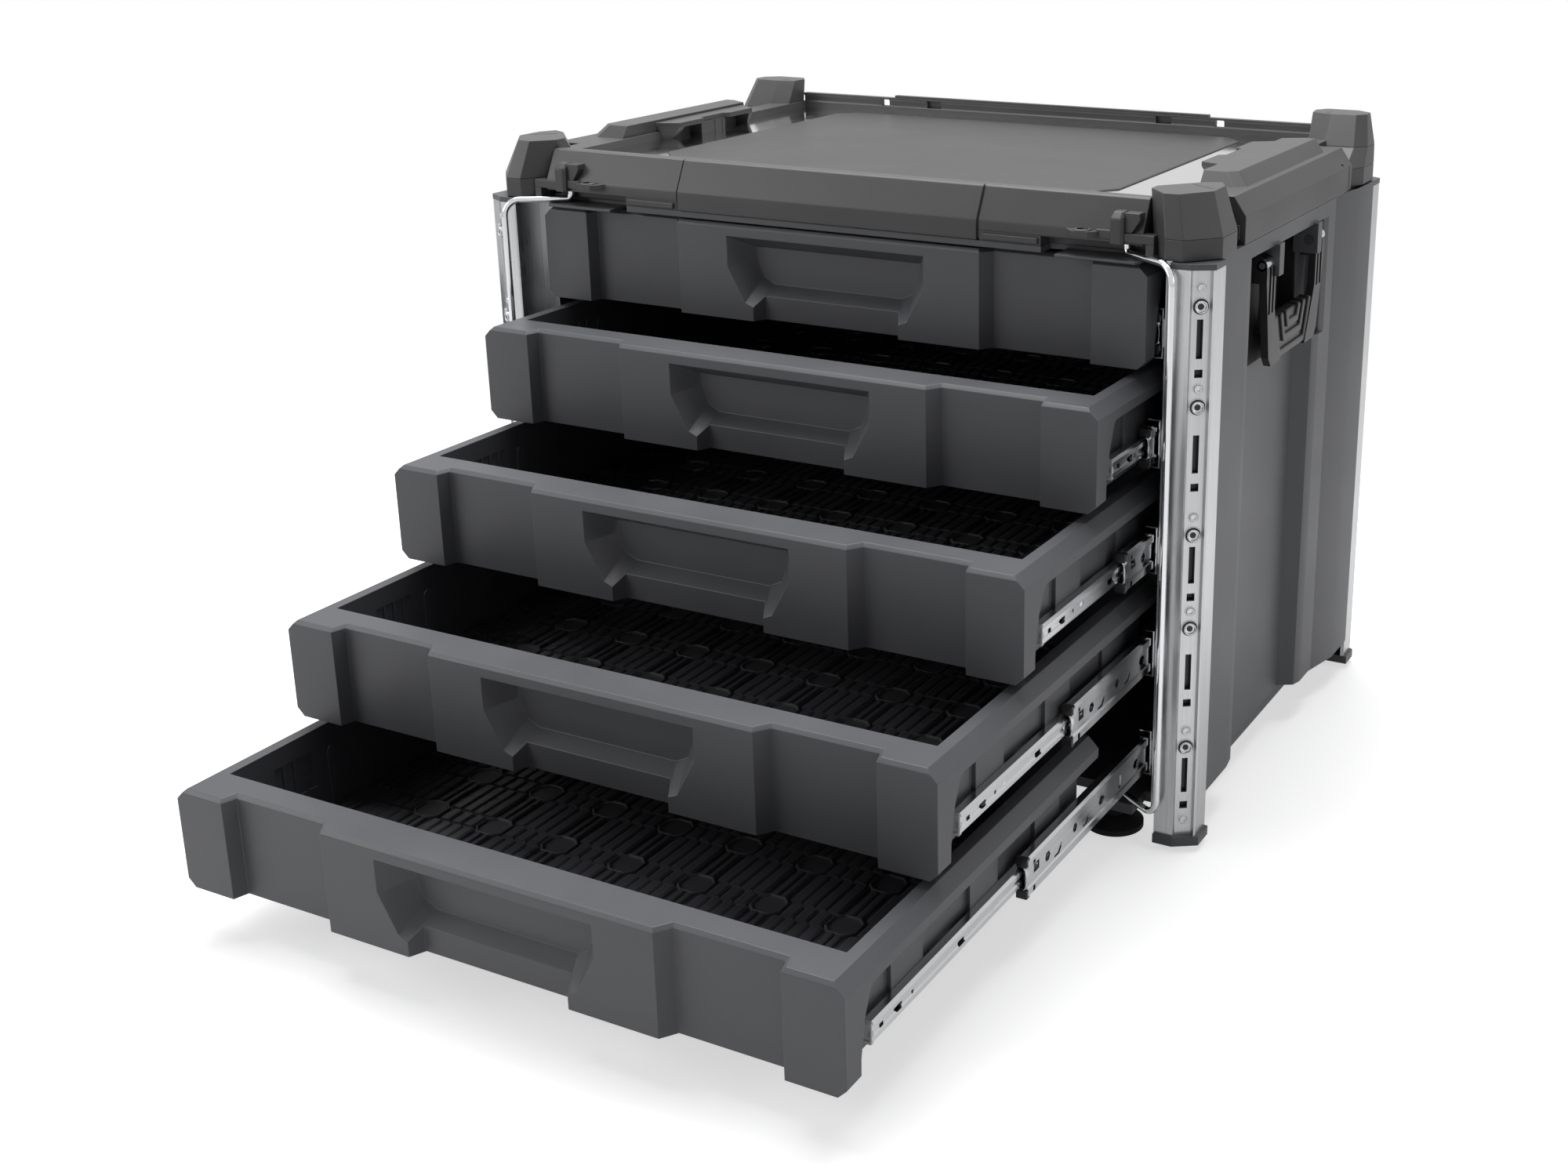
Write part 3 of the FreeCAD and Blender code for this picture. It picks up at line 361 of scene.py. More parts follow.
def turned(profile, centre=(0, 0, 0), axis=(0, 0, 1), sides=24, socket=()):
    """A turned form: rings of radius and height about an axis; the rings in socket are hexagonal."""
    along = Vector(axis).normalized()
    first = along.orthogonal().normalized()
    second = along.cross(first)
    points, faces = [], []
    for number, (radius, height) in enumerate(profile):
        for turn in range(sides):
            angle = 2 * math.pi * turn / sides
            reach = radius
            if number in socket:
                reach /= math.cos((angle + math.pi / 6) % (math.pi / 3) - math.pi / 6)
            spot = Vector(centre) + along * height
            points.append(spot + (first * math.cos(angle) + second * math.sin(angle)) * reach)
    for ring in range(len(profile) - 1):
        for turn in range(sides):
            following = (turn + 1) % sides
            faces.append([ring * sides + turn, ring * sides + following,
                          (ring + 1) * sides + following, (ring + 1) * sides + turn])
    last = (len(profile) - 1) * sides
    faces += [list(range(sides))[::-1], list(range(last, last + sides))]
    return [tuple(point) for point in points], faces


def cut(mesh, *forms):
    """A mesh with closed forms taken out of it."""
    piece = stand(mesh)
    tool = stand(solid(*forms), "tool")
    knife = piece.modifiers.new("cut", "BOOLEAN")
    knife.operation = "DIFFERENCE"
    knife.solver = "EXACT"
    knife.use_self = True
    knife.object = tool
    result = settle(piece)
    bpy.data.objects.remove(tool)
    return result


def joined(*meshes):
    """Several meshes as one."""
    work = bmesh.new()
    for mesh in meshes:
        work.from_mesh(mesh)
    result = bpy.data.meshes.new("joined")
    work.to_mesh(result)
    work.free()
    return result


def mirrored(mesh, axis=0):
    """The mesh as seen across a middle plane, its faces still outwards."""
    work = bmesh.new()
    work.from_mesh(mesh)
    for vertex in work.verts:
        vertex.co[axis] = -vertex.co[axis]
    bmesh.ops.reverse_faces(work, faces=work.faces)
    result = bpy.data.meshes.new("mirrored")
    work.to_mesh(result)
    work.free()
    return result


def pair(mesh):
    """The mesh and its likeness on the left side, as one."""
    return joined(mesh, mirrored(mesh))


def moved(mesh, across=0.0, along=0.0, up=0.0):
    """A copy shifted by millimetres."""
    copy = mesh.copy()
    copy.transform(Matrix.Translation(Vector((across, along, up)) * MM))
    return copy


def strip(path, thick):
    """Outline of a bent strip of sheet metal about its middle line."""
    spots = [Vector(point) for point in path]
    normals = []
    # Each bend is mitred, and the mitre of a very sharp bend is cut short.
    for index in range(len(spots)):
        back = spots[index] - spots[max(index - 1, 0)]
        ahead = spots[min(index + 1, len(spots) - 1)] - spots[index]
        runs = [run.normalized() for run in (back, ahead) if run.length > 0]
        sides = [Vector((-run.y, run.x)) for run in runs]
        middle = sum(sides, Vector((0, 0))).normalized()
        normals.append(middle / max(middle.dot(sides[0]), 0.5))
    left = [spot + normal * thick / 2 for spot, normal in zip(spots, normals)]
    right = [spot - normal * thick / 2 for spot, normal in zip(spots, normals)]
    return [tuple(point) for point in left + right[::-1]]


def seat_tree():
    """Geometry nodes that set a shape on every seat, turned, stretched and sized there."""
    tree = bpy.data.node_groups.new("set_on_seats", "GeometryNodeTree")
    for label, kind in (("Shape", "NodeSocketGeometry"), ("Seats", "NodeSocketObject"),
                        ("Size", "NodeSocketFloat"), ("Finish", "NodeSocketMaterial")):
        tree.interface.new_socket(label, in_out="INPUT", socket_type=kind)
    tree.interface.new_socket("Shapes", in_out="OUTPUT", socket_type="NodeSocketGeometry")
    given = add(tree, "NodeGroupInput")
    seats = add(tree, "GeometryNodeObjectInfo", Object=given.outputs["Seats"])
    turn = add(tree, "GeometryNodeInputNamedAttribute", {"data_type": "FLOAT_VECTOR", "Name": "turn"})
    reach = add(tree, "GeometryNodeInputNamedAttribute", {"data_type": "FLOAT_VECTOR", "Name": "reach"})
    scale = add(tree, "ShaderNodeVectorMath", {"operation": "SCALE"}, i0=reach.outputs["Attribute"],
                Scale=given.outputs["Size"])
    put = add(tree, "GeometryNodeInstanceOnPoints", Points=seats.outputs["Geometry"],
              Instance=given.outputs["Shape"], Rotation=turn.outputs["Attribute"],
              Scale=scale.outputs["Vector"])
    real = add(tree, "GeometryNodeRealizeInstances", Geometry=put.outputs["Instances"])
    finish = add(tree, "GeometryNodeSetMaterial", Geometry=real.outputs["Geometry"],
                 Material=given.outputs["Finish"])
    add(tree, "NodeGroupOutput", i0=finish.outputs["Geometry"])
    return tree


SEAT_TREE = seat_tree()


def on_seats(shape, finish, spots, turns=None, reaches=None, size=1.0):
    """The shape set on spots given in millimetres, times its reach and size, as one plain mesh."""
    points = bpy.data.meshes.new("seats")
    points.from_pydata([tuple(value * MM for value in spot) for spot in spots], [], [])
    for label, values in (("turn", turns or [(0, 0, 0)] * len(spots)),
                          ("reach", reaches or [(1, 1, 1)] * len(spots))):
        layer = points.attributes.new(label, "FLOAT_VECTOR", "POINT")
        layer.data.foreach_set("vector", np.array(values, dtype=float).ravel())
    seats = stand(points, "seats")
    piece = stand(shape)
    modifier = piece.modifiers.new("set", "NODES")
    modifier.node_group = SEAT_TREE
    sockets = {item.name: item.identifier for item in SEAT_TREE.interface.items_tree}
    for label, value in (("Seats", seats), ("Size", size), ("Finish", finish)):
        modifier[sockets[label]] = value
    result = settle(piece)
    bpy.data.objects.remove(seats)
    return result


def soften(node, width):
    """A CAD node stands again with its moulded or drawn edges rounded."""
    slot = SLOT_OF[node]
    mesh = rounded(cad_copy(node), width)
    new_piece(node + ".finished", mesh, FINISHES[slot], BODY_OF[node], (node,))


# Edge widths in millimetres, by the first word of a node's name, and the slots built anew below.
EDGE_WIDTHS = {"drawer": 1.1, "case": 1.0, "post": 0.3, "base": 0.8, "cabinet": 0.25}
REMADE = ("mat_rubber", "inner_rail", "zinc_bolt", "zinc_screw")


def finish_nodes():
    """Every CAD node takes its finish, and the plain ones stand again with softened edges."""
    for name, node in NODES.items():
        node.data.materials.clear()
        node.data.materials.append(FINISHES[SLOT_OF[name]])
    for name in NODES:
        family = name.split("_")[0]
        if family in EDGE_WIDTHS and SLOT_OF[name] not in REMADE:
            soften(name, EDGE_WIDTHS[family])


# --- Slides -----------------------------------------------

# Sections of the slide members are drawn from a line this far inside their outer face.
SECTION_BACK = 7
STRIP_THICK = 1.2


def slide_members():
    """Drawer and middle members of the ball slides, rolled from strip with pierced webs."""
    inner = strip([(0.8, 3.4), (0.8, 6.2), (5.0, 6.2), (6.4, 4.9), (6.4, 2.4), (5.4, 1.4), (5.4, -1.4),
                   (6.4, -2.4), (6.4, -4.9), (5.0, -6.2), (0.8, -6.2), (0.8, -3.4)], STRIP_THICK)
    middle = strip([(0.6, 10.8), (0.6, 13.4), (5.0, 13.4), (6.4, 12.1), (6.4, 7.6), (5.5, 6.6),
                    (5.5, -6.6), (6.4, -7.6), (6.4, -12.1), (5.0, -13.4), (0.6, -13.4), (0.6, -10.8)],
                   STRIP_THICK)
    hexagon = [(-1, 0), (-0.5, 0.9), (0.5, 0.9), (1, 0), (0.5, -0.9), (-0.5, -0.9)]
    hook = [(-1, -1), (0.4, -1), (1, 0), (1, 1), (0.4, 0.2), (0, -0.5), (-1, -0.6)]
    box = [(-1, -1), (1, -1), (1, 1), (-1, 1)]
    web = (4, 8)
    # Each hole is a shape, its place along the member, its half length, its height and half height.
    for label, outline, slot, holes in (
            ("drawer_rails", inner, "inner_rail",
             [(box, 12, 2.2, 0, 1.6), (hexagon, 31, 5, 0, 2.6), (hexagon, 48, 1.5, 0, 1.5),
              (box, 108, 4, 0, 2.2), (box, 194, 4, 0, 2.2)]),
            ("middle_rails", middle, "middle_rail",
             [(box, 9, 1.6, 8, 2), (box, 9, 1.6, -10.4, 2), (box, 14, 4, 2.6, 3.2),
              (hexagon, 31, 4, 1, 3.6), (hook, 47, 5.5, -2, 3.6), (hexagon, 74, 3.5, 1, 3.4),
              (hook, 92, 5, -2, 3.2), (hexagon, 118, 5, 1, 3.4), (box, 150, 2, 0, 4.6),
              (hexagon, 179, 5, 1, 3.6), (hook, 220, 5, -1, 3.4), (hexagon, 268, 6, 1, 3.6)])):
        low, high = limits(label + "_1")
        form = solid(prism(outline, "Y", 0, high.y - low.y))
        windows = [prism([(along + reach * step, up + tall * rise) for step, rise in shape], "X", *web)
                   for shape, along, reach, up, tall in holes]
        member = rounded(cut(form, *windows), 0.22, segments=1, limit=35)
        for number in DRAWERS:
            node = "%s_%d" % (label, number)
            low, high = limits(node)
            placed = moved(member, high.x - SECTION_BACK, low.y, (low.z + high.z) / 2)
            new_piece("%s.rolled" % node, pair(placed), ZINC, BODY_OF[node], (node,))


def slide_caps(low, high, level):
    """Nylon end caps of a middle member, above and below its web, with a lug each."""
    caps = []
    for sign in (1, -1):
        band = sorted((level + sign * 8.4, level + sign * 14.4))
        lug = sorted((level + sign * 7.2, level + sign * 8.5))
        caps += [cuboid((high.x - 8.2, high.x - 0.2), (low.y - 1.8, low.y + 3), band),
                 cuboid((high.x - 8, high.x - 3), (low.y - 1.2, low.y + 2.6), lug)]
    return rounded(solid(*caps), 0.8)


def slide_ends():
    """End caps and noses of the middle members; bumpers and rivets of the drawer members."""
    edge = [(-1.2, -6.2), (-0.4, -7), (6.1, -7), (6.9, -6.2), (6.9, 6.2), (6.1, 7), (-0.4, 7),
            (-1.2, 6.2)]
    hollow = [(0.6, -4.2), (1.2, -4.8), (4.7, -4.8), (5.3, -4.2), (5.3, 4.2), (4.7, 4.8), (1.2, 4.8),
              (0.6, 4.2)]
    bumper = cut(solid(prism(edge, "Y", -0.4, 2.2)), prism(hollow, "Y", -1, 0.4))
    bumper = rounded(bumper, 0.3, segments=1)
    lip = strip([(4.2, -7.9), (5.4, -6.4), (6.3, -2.0), (6.3, 2.0), (5.4, 6.4), (4.2, 7.9)], 0.8)
    rivet = solid(turned([(3.0, 0), (3.0, 0.5), (2.2, 1.0), (0.8, 1.1)], axis=(1, 0, 0), sides=12))
    for number in DRAWERS:
        node = "middle_rails_%d" % number
        low, high = limits(node)
        level = (low.z + high.z) / 2
        body = BODY_OF[node]
        new_piece("slide_caps_%d" % number, pair(slide_caps(low, high, level)), NYLON, body)
        section = [(high.x - SECTION_BACK + across, level + up) for across, up in lip]
        nose = rounded(solid(prism(section, "Y", low.y - 1.6, low.y + 2)), 0.2, segments=1)
        new_piece("slide_noses_%d" % number, pair(nose), ZINC, body)
        node = "drawer_rails_%d" % number
        low, high = limits(node)
        body = BODY_OF[node]
        mesh = pair(moved(bumper, high.x - SECTION_BACK, low.y, level))
        new_piece("slide_bumpers_%d" % number, mesh, ACETAL, body)
        spots = [(high.x - 1.6, low.y + along, level) for along in (62, 150, 236)]
        mesh = pair(on_seats(rivet.copy(), ZINC, spots))
        new_piece("slide_rivets_%d" % number, mesh, ZINC, body)


# --- Posts and fasteners ----------------------------------

def islands(node):
    """Middle of every loose solid of a CAD node, in millimetres."""
    work = bmesh.new()
    work.from_mesh(cad_copy(node))
    found, waiting = [], set(work.verts)
    while waiting:
        edge = [waiting.pop()]
        members = list(edge)
        while edge:
            vertex = edge.pop()
            for link in vertex.link_edges:
                other = link.other_vert(vertex)
                if other in waiting:
                    waiting.discard(other)
                    edge.append(other)
                    members.append(other)
        low = Vector([min(vertex.co[axis] for vertex in members) for axis in range(3)])
        high = Vector([max(vertex.co[axis] for vertex in members) for axis in range(3)])
        found.append((low + high) / 2 / MM)
    work.free()
    return found


# Middle of the right front post's channel floor, and how far the channel turns from the front.
CHANNEL_MIDDLE = Vector((289.1, -189.9, 0))
CHANNEL_TURN = math.atan2(7.0, 9.8)


def outward(spot):
    """Direction that the post channel at a spot faces."""
    across = math.copysign(math.sin(CHANNEL_TURN), spot.x)
    return Vector((across, math.copysign(math.cos(CHANNEL_TURN), spot.y), 0))


def post_fasteners():
    """Socket bolts with a flange, and small recessed screws, seated in the post channels, with painted
    shade in the bolts' groove and socket.
    """
    # Profiles are radius and height; the rings numbered last are the hexagonal socket.
    bolt = turned([(5.9, 0), (5.9, 0.9), (5.6, 1.1), (5.3, 0.9), (5.2, 0.4), (4.5, 0.4), (4.4, 2.9),
                   (4.1, 3.3), (3.6, 3.3), (3.3, 2.9), (3.2, 1.3), (2.6, 1.0)], socket=(9, 10, 11))
    screw = turned([(3.7, 0), (3.7, 0.7), (3.2, 0.9), (2.9, 0.5), (2.7, 0.5), (2.6, 1.6), (2.2, 1.8),
                    (1.6, 1.7), (1.5, 0.6)], sides=18, socket=(7, 8))
    # Painted shade: a dark ring lies in the groove of the bolt's flange, and a dark disc on its socket's
    # floor, where shade falls in the hollows.
    ring = turned([(5.25, 0.3), (5.25, 0.7), (4.3, 0.75)])
    socket_shade = turned([(2.2, 0.9), (2.2, 1.15)], sides=12)
    for node, form, thick, slot in (("post_bolts", bolt, 3.2, "zinc_bolt"),
                                    ("post_screws", screw, 1.8, "zinc_screw")):
        spots, turns = [], []
        for centre in islands(node):
            facing = outward(centre)
            spots.append(centre - facing * thick / 2)
            turns.append(tuple(facing.to_track_quat("Z", "Y").to_euler()))
        head = rounded(solid(form), 0.1, segments=1, limit=40)
        mesh = on_seats(head, BOLT, spots, turns)
        new_piece(node + ".turned", mesh, BOLT, BODY_OF[node], (node,))
        if form is bolt:
            # The dark ring and disc are painted shade, laid in the hollows of each bolt head.
            hollow_shade = on_seats(solid(ring, socket_shade), NYLON, spots, turns)
            new_piece("bolt_washers", hollow_shade, NYLON, "case")


def channel_strips():
    """Painted shade: dark strips behind the pierced floors of the posts, standing in for the shade seen
    through the holes.
    """
    low, high = limits("post_front_right")
    half, sunk, thick = 4.6, 4.6, 1.0
    facing = outward(CHANNEL_MIDDLE)
    side = Vector((-facing.y, facing.x, 0)) * half
    front = CHANNEL_MIDDLE - facing * sunk
    back = front - facing * thick
    outline = [front + side, front - side, back - side, back + side]
    form = prism([(point.x, point.y) for point in outline], "Z", low.z + 3, high.z - 3)
    ahead = pair(solid(form))
    mesh = joined(ahead, mirrored(ahead, 1))
    # The dark nylon strips are painted shade inside the posts.
    new_piece("channel_strips", mesh, NYLON, "case")


# --- Mats -------------------------------------------------

# Distance between studs, the place of the third row behind the front edge, and the grid's spread.
MAT_PITCH = 55.5
THIRD_ROW = 107
COLUMNS = range(-5, 6)
ROWS = range(-1, 8)


def stud_places(low, high):
    """Every place of the stud grid, some of them past the edges of the mat."""
    start = Vector(((low.x + high.x) / 2, low.y + THIRD_ROW - 2 * MAT_PITCH))
    return [start + Vector((column, row)) * MAT_PITCH for column in COLUMNS for row in ROWS]


def mat_bars(low, high):
    """Middle, width and length of every raised bar of a mat, cut off at its edges."""
    half, margin = MAT_PITCH / 2, 1
    least_wide, least_long = 2.5, 3
    # Bars of one cell: place across and along from its stud, width and length.
    cell = [(-3.1, half, 4.9, 33), (3.1, half, 4.9, 33)]
    cell += [(half + step, half, 8.9, 36) for step in (-13.8, -4.6, 4.6, 13.8)]
    cell += [(half + step, 0, 9.6, 14) for step in (-10.4, 0, 10.4)]
    bars = []
    for place in stud_places(low, high):
        for across, along, width, length in cell:
            middle = place + Vector((across, along))
            left = max(middle.x - width / 2, low.x + margin)
            right = min(middle.x + width / 2, high.x - margin)
            near = max(middle.y - length / 2, low.y + margin)
            far = min(middle.y + length / 2, high.y - margin)
            if right - left > least_wide and far - near > least_long:
                bars.append(((left + right) / 2, (near + far) / 2, right - left, far - near))
    return bars


def grip_mats():
    """Interlocking tool mats: rows of rounded bars between eight-sided dished studs."""
    rib_high, edge_gap = 2.2, 12
    # The bar is one unit wide and long; its reach and size make it as large as each place needs.
    bar = solid(prism([(-0.5, -0.02), (0.5, -0.02), (0.49, 0.6), (0.3, 0.95), (-0.3, 0.95),
                       (-0.49, 0.6)], "Y", -0.5, 0.5))
    for vertex in bar.vertices:
        vertex.co /= MM
    outline = [(-11.5, -6), (-6, -11.5), (6, -11.5), (11.5, -6), (11.5, 6), (6, 11.5), (-6, 11.5),
               (-11.5, 6)]
    rim = [(across * 0.97, along * 0.97) for across, along in outline]
    dish = [(across * 0.86, along * 0.86) for across, along in outline]
    stud = cut(solid(prism(outline, "Z", -0.1, 2.4, rim)), prism(dish, "Z", 1.1, 2.6))
    stud = rounded(stud, 0.25, segments=1)
    for number in DRAWERS:
        node = "drawer_mat_%d" % number
        low, high = limits(node)
        bars = mat_bars(low, high)
        spots = [(across, along, high.z) for across, along, _, _ in bars]
        reaches = [(width, length, rib_high) for _, _, width, length in bars]
        ribs = on_seats(bar.copy(), MAT, spots, reaches=reaches, size=MM)
        whole = [(place.x, place.y, high.z) for place in stud_places(low, high)
                 if low.x + edge_gap < place.x < high.x - edge_gap
                 and low.y + edge_gap < place.y < high.y - edge_gap]
        studs = on_seats(stud.copy(), MAT, whole)
        sheet = solid(cuboid((low.x, high.x), (low.y, high.y), (low.z, high.z)))
        mesh = joined(sheet, ribs, studs)
        new_piece(node + ".ribbed", mesh, MAT, BODY_OF[node], (node,))


def wall_tongues():
    """Raised tongues with round heads on the inner sides of every drawer."""
    half = 5
    for number in DRAWERS:
        floor = limits("drawer_mat_%d" % number)[1].z
        front = limits("drawer_%d" % number)[0].y
        forms = []
        for along, tall in ((57, 26), (117, 46)):
            middle = front + along
            centre = floor + tall - half
            outline = [(middle + half * math.cos(turn * math.pi / 6),
                        centre + half * math.sin(turn * math.pi / 6)) for turn in range(7)]
            outline += [(middle - half, floor), (middle + half, floor)]
            forms.append(prism(outline, "X", 232.6, 234.4))
        new_piece("drawer_tongues_%d" % number, pair(rounded(solid(*forms), 0.5)), GREY,
                  BODY_OF["drawer_%d" % number])


# --- Lid --------------------------------------------------

# Levels of the tray's floor, the decks beside it, the stacking blocks' ledges and their crowns.
TRAY = 449.8
DECK = 456.0
LEDGE = 459.4
CROWN = 465.4
# Half length of the lid's rear wall and of the front bar, between the towers.
SPAN = 246


def lid_blocks():
    """Stacking block of the right side: skirt, slanted cap and a hollow ledge towards the tray."""
    skirt = [(262, -98), (285, -98), (294, -89), (294, 88), (285, 97), (262, 97)]
    foot = [(247, -97), (283, -97), (291.5, -88), (291.5, 87), (283, 96), (247, 96)]
    crown = [(247, -80), (264, -80), (271, -74), (271, 97), (262, 97), (247, 88)]
    ledge = [(249, -43), (228, -34), (228, 0), (233, 3), (233, 36), (228, 39), (228, 73), (249, 88)]
    wide = [(249, -43), (228, -34), (228, -27), (249, -27)]
    narrow = [(249, -40), (237, -34), (237, -29), (249, -29)]
    end = [(249, 70), (228, 68), (228, 73), (249, 88)]
    low_end = [(249, 72), (233, 71), (233, 73), (249, 86)]
    under = LEDGE + 0.1
    return [prism(skirt, "Z", BASE + 1, DECK - 12.5), prism(foot, "Z", DECK - 12.6, CROWN, crown),
            prism(ledge, "Z", LEDGE, LEDGE + 4), prism(narrow, "Z", TRAY - 1, under, wide),
            prism(low_end, "Z", TRAY - 1, under, end), cuboid((246, 249), (-41, 87), (TRAY - 1, 462)),
            cuboid((232, 248), (2, 37), (TRAY - 1, under)),
            cuboid((231.4, 233), (21, 22.2), (TRAY, under)),
            cuboid((231.4, 233), (32, 33.2), (TRAY, under))]


def lid_frame():
    """Black rim of the lid: sunk tray, side decks, stacking blocks and stepped rear wall."""
    edge = limits("top_frame")[1].x
    deck = [(244, TRAY - 2), (244, DECK), (edge - 9, DECK), (edge, DECK - 13), (edge, BASE),
            (edge - 28, BASE), (edge - 28, TRAY - 2)]
    side = [prism(deck, "Y", -122, 122), cuboid((244, 263), (-166, -121), (TRAY - 2, DECK)),
            cuboid((244, 263), (121, 187), (TRAY - 2, DECK)),
            cuboid((282, 293), (101, 105), (427, 447)), cuboid((284, 294), (112, 118), (427, 444)),
            cuboid((280, 291), (-118, -112), (427, 446)), cuboid((270, 290), (-123, -97), (427, 437))]
    rear = [(187, TRAY - 2), (187, 455.2), (188.2, 456.4), (188.2, 460), (187, 461.2), (187, 463.1),
            (193, 463.1), (193, BASE), (190, BASE), (190, TRAY - 2)]
    middle = [(187.6, 463), (187.6, 465.3), (192.6, 465.3), (192.6, 463)]
    wall = solid(prism(rear, "X", -SPAN, SPAN), prism(middle, "X", -150, 150))
    windows = [cuboid((at - 4, at + 4), (180, 200), (455.6, 461.4)) for at in (-160, 160)]
    notches = [cuboid((at - 7, at + 7), (180, 191), (455.8, 462)) for at in (-110, 110)]
    wall = rounded(cut(wall, *windows, *notches), 0.35, segments=1)
    floor = solid(cuboid((-264, 264), (-166, 190), (TRAY - 3, TRAY)))
    blocks = [rounded(solid(form), 0.6, limit=20) for form in side + lid_blocks()]
    mesh = joined(floor, wall, pair(joined(*blocks)))
    new_piece("top_frame.moulded", mesh, BLACK, "case", ("top_frame",))


def lid_plates():
    """Polished sheet on the tray's floor and the panel with cut corners that lies on it."""
    sheet = solid(cuboid((-SPAN, SPAN), (-166, 187), (TRAY, TRAY + 0.4)))
    new_piece("tray_sheet", sheet, MIRROR, "case")
    plan = [(176, -121), (193, -101), (191, 150), (178, 166)]
    plan += [(-across, along) for across, along in plan[::-1]]
    inner = [(across * 0.994, along * 0.992) for across, along in plan]
    slab = solid(prism(plan, "Z", TRAY + 0.3, TRAY + 1.0),
                 prism(plan, "Z", TRAY + 0.9, TRAY + 1.5, inner))
    new_piece("lid_panel.moulded", rounded(slab, 0.2, segments=1), PANEL, "case",
              ("lid_panel",))


def towers():
    """Corner towers: upright skirts under slanted crowns, the rear ones taller and set back."""
    skirt = [(250, 178), (264.6, 194), (277.4, 194.8), (296.7, 173), (296.7, 146), (288, 123),
             (262, 122), (250, 134)]
    front = [(245, 171), (259, 186.5), (270.5, 186), (286.5, 165), (286, 142), (279, 130), (268, 135),
             (245, 162)]
    rear = [(243, 184), (250, 194.4), (276, 194.8), (288, 186), (289, 174), (282, 167), (262, 166),
            (245, 171)]
    neck = [(246, 186), (255, 194.4), (278, 194.8), (294.5, 180), (294.5, 160), (286, 151),
            (262, 150), (246, 158)]
    for end, levels in (("front", [(438, skirt), (466.5, front)]),
                        ("rear", [(438, skirt), (452, neck), (475.6, rear)])):
        sign = -1 if end == "front" else 1
        # The tower is stacked up from plans at rising levels, each tapering to the one above it.
        stages = [(level, [(across, sign * along) for across, along in plan])
                  for level, plan in [(BASE + 0.4, skirt)] + levels]
        forms = [prism(plan, "Z", level, next_level, next_plan)
                 for (level, plan), (next_level, next_plan) in zip(stages, stages[1:])]
        mesh = joined(*[rounded(solid(form), 0.6, limit=12) for form in forms])
        for side, likeness in (("right", mesh), ("left", mirrored(mesh))):
            node = "tower_%s_%s" % (end, side)
            new_piece(node + ".moulded", likeness, BLACK, "case", (node,))


# Half length of the bar's middle part, and the distance between the bearings of the two bails.
MIDDLE_BAR = 124
NUB_SPAN = 458


def bar_section(proud, foot):
    """Section of the slanted bar, along Y and Z: how far it stands proud, and its lower edge."""
    return [(FACE - proud + 0.4, BASE + foot), (FACE - proud, BASE + foot + 1.6),
            (FACE - proud + 0.2, BASE + 13.4), (FACE - proud + 0.9, BASE + 15.2),
            (FACE - proud + 11.4, BASE + 35.6), (FACE - proud + 13.2, BASE + 36.7),
            (FACE + 20, BASE + 36.7), (FACE + 20, BASE + foot)]


def bail_nub():
    """Bearing of the bail: a chamfered post with a gusset."""
    plan = [(224, FACE - 4), (225.5, FACE - 5.5), (232, FACE - 5.5), (234, FACE - 3.5), (234, FACE + 6),
            (224, FACE + 6)]
    crown = [(225.5, FACE - 0.5), (226.5, FACE - 1.5), (231.5, FACE - 1.5), (233, FACE), (233, FACE + 6),
             (225.5, FACE + 6)]
    gusset = [(233, BASE + 28), (244, BASE + 28), (244.5, BASE + 24), (238.5, BASE + 14.5),
              (233, BASE + 14.5)]
    return [prism(plan, "Z", BASE + 7, BASE + 24), prism(plan, "Z", BASE + 24, BASE + 28.6, crown),
            prism(gusset, "Y", FACE - 1.5, FACE + 9)]


def padlock_eye():
    """Right-hand padlock eye: a six-sided plate with a bored boss."""
    across, along = 204, FACE - 3
    plate = prism([(190, FACE + 2), (193, FACE - 4), (198, FACE - 9), (210, FACE - 9), (215, FACE - 4),
                   (218, FACE + 2)], "Z", BASE + 10.5, BASE + 14.5)
    boss = turned([(6.4, 0), (6.4, 1.0), (5.8, 1.5), (4.6, 1.5)], (across, along, BASE + 14))
    hole = turned([(4, 0), (4, 12)], (across, along, BASE + 6))
    return rounded(cut(joined(solid(plate), solid(boss)), hole), 0.35, segments=1)


def lid_bar():
    """Slanted front bar in three lengths, with the bail bearings and padlock eyes."""
    middle = rounded(solid(prism(bar_section(1.2, 0), "X", -MIDDLE_BAR, MIDDLE_BAR)), 0.7)
    start = MIDDLE_BAR + 1.2
    joint = [(along + 0.8, up) for along, up in bar_section(0, 1)]
    forms = [prism(bar_section(0, 6.6), "X", start, SPAN),
             cuboid((start, 172), (FACE + 0.4, FACE + 18), (BASE, BASE + 8)),
             cuboid((171, 244), (FACE + 14, FACE + 19), (BASE, BASE + 8)),
             prism(joint, "X", MIDDLE_BAR - 1, MIDDLE_BAR + 2),
             cuboid((128, 170), (FACE - 1.4, FACE + 1), (BASE + 1.2, BASE + 5.4)),
             cuboid((233, 255), (FACE - 3, FACE + 6), (BASE + 8.4, BASE + 14.6)),
             cuboid((249, 255), (FACE - 3, FACE + 6), (BASE + 1, BASE + 8.5)),
             cuboid((213, 224.5), (FACE - 2.5, FACE + 4), (BASE + 9.5, BASE + 15.6))]
    right = [rounded(solid(form), 0.6) for form in forms]
    nub = joined(*[rounded(solid(form), 0.6) for form in bail_nub()])
    mesh = joined(middle, pair(joined(*right, padlock_eye())), nub, moved(nub, -NUB_SPAN))
    new_piece("front_bar.moulded", mesh, BLACK, "case", ("front_bar",))


def tower_slots():
    """Painted shade: narrow dark strips set into the crowns of the towers, standing in for the shade
    inside their slots.
    """
    front = prism([(265, -147), (265.8, -144.8), (282.6, -156), (281.8, -158.2)], "Z", 460, 466.6)
    rear = cuboid((256, 259), (172, 179), (470, 475.7))
    # Dark nylon fills stand in for the shade in the slots.
    new_piece("tower_slots", pair(solid(front, rear)), NYLON, "case")


# --- Handles ----------------------------------------------

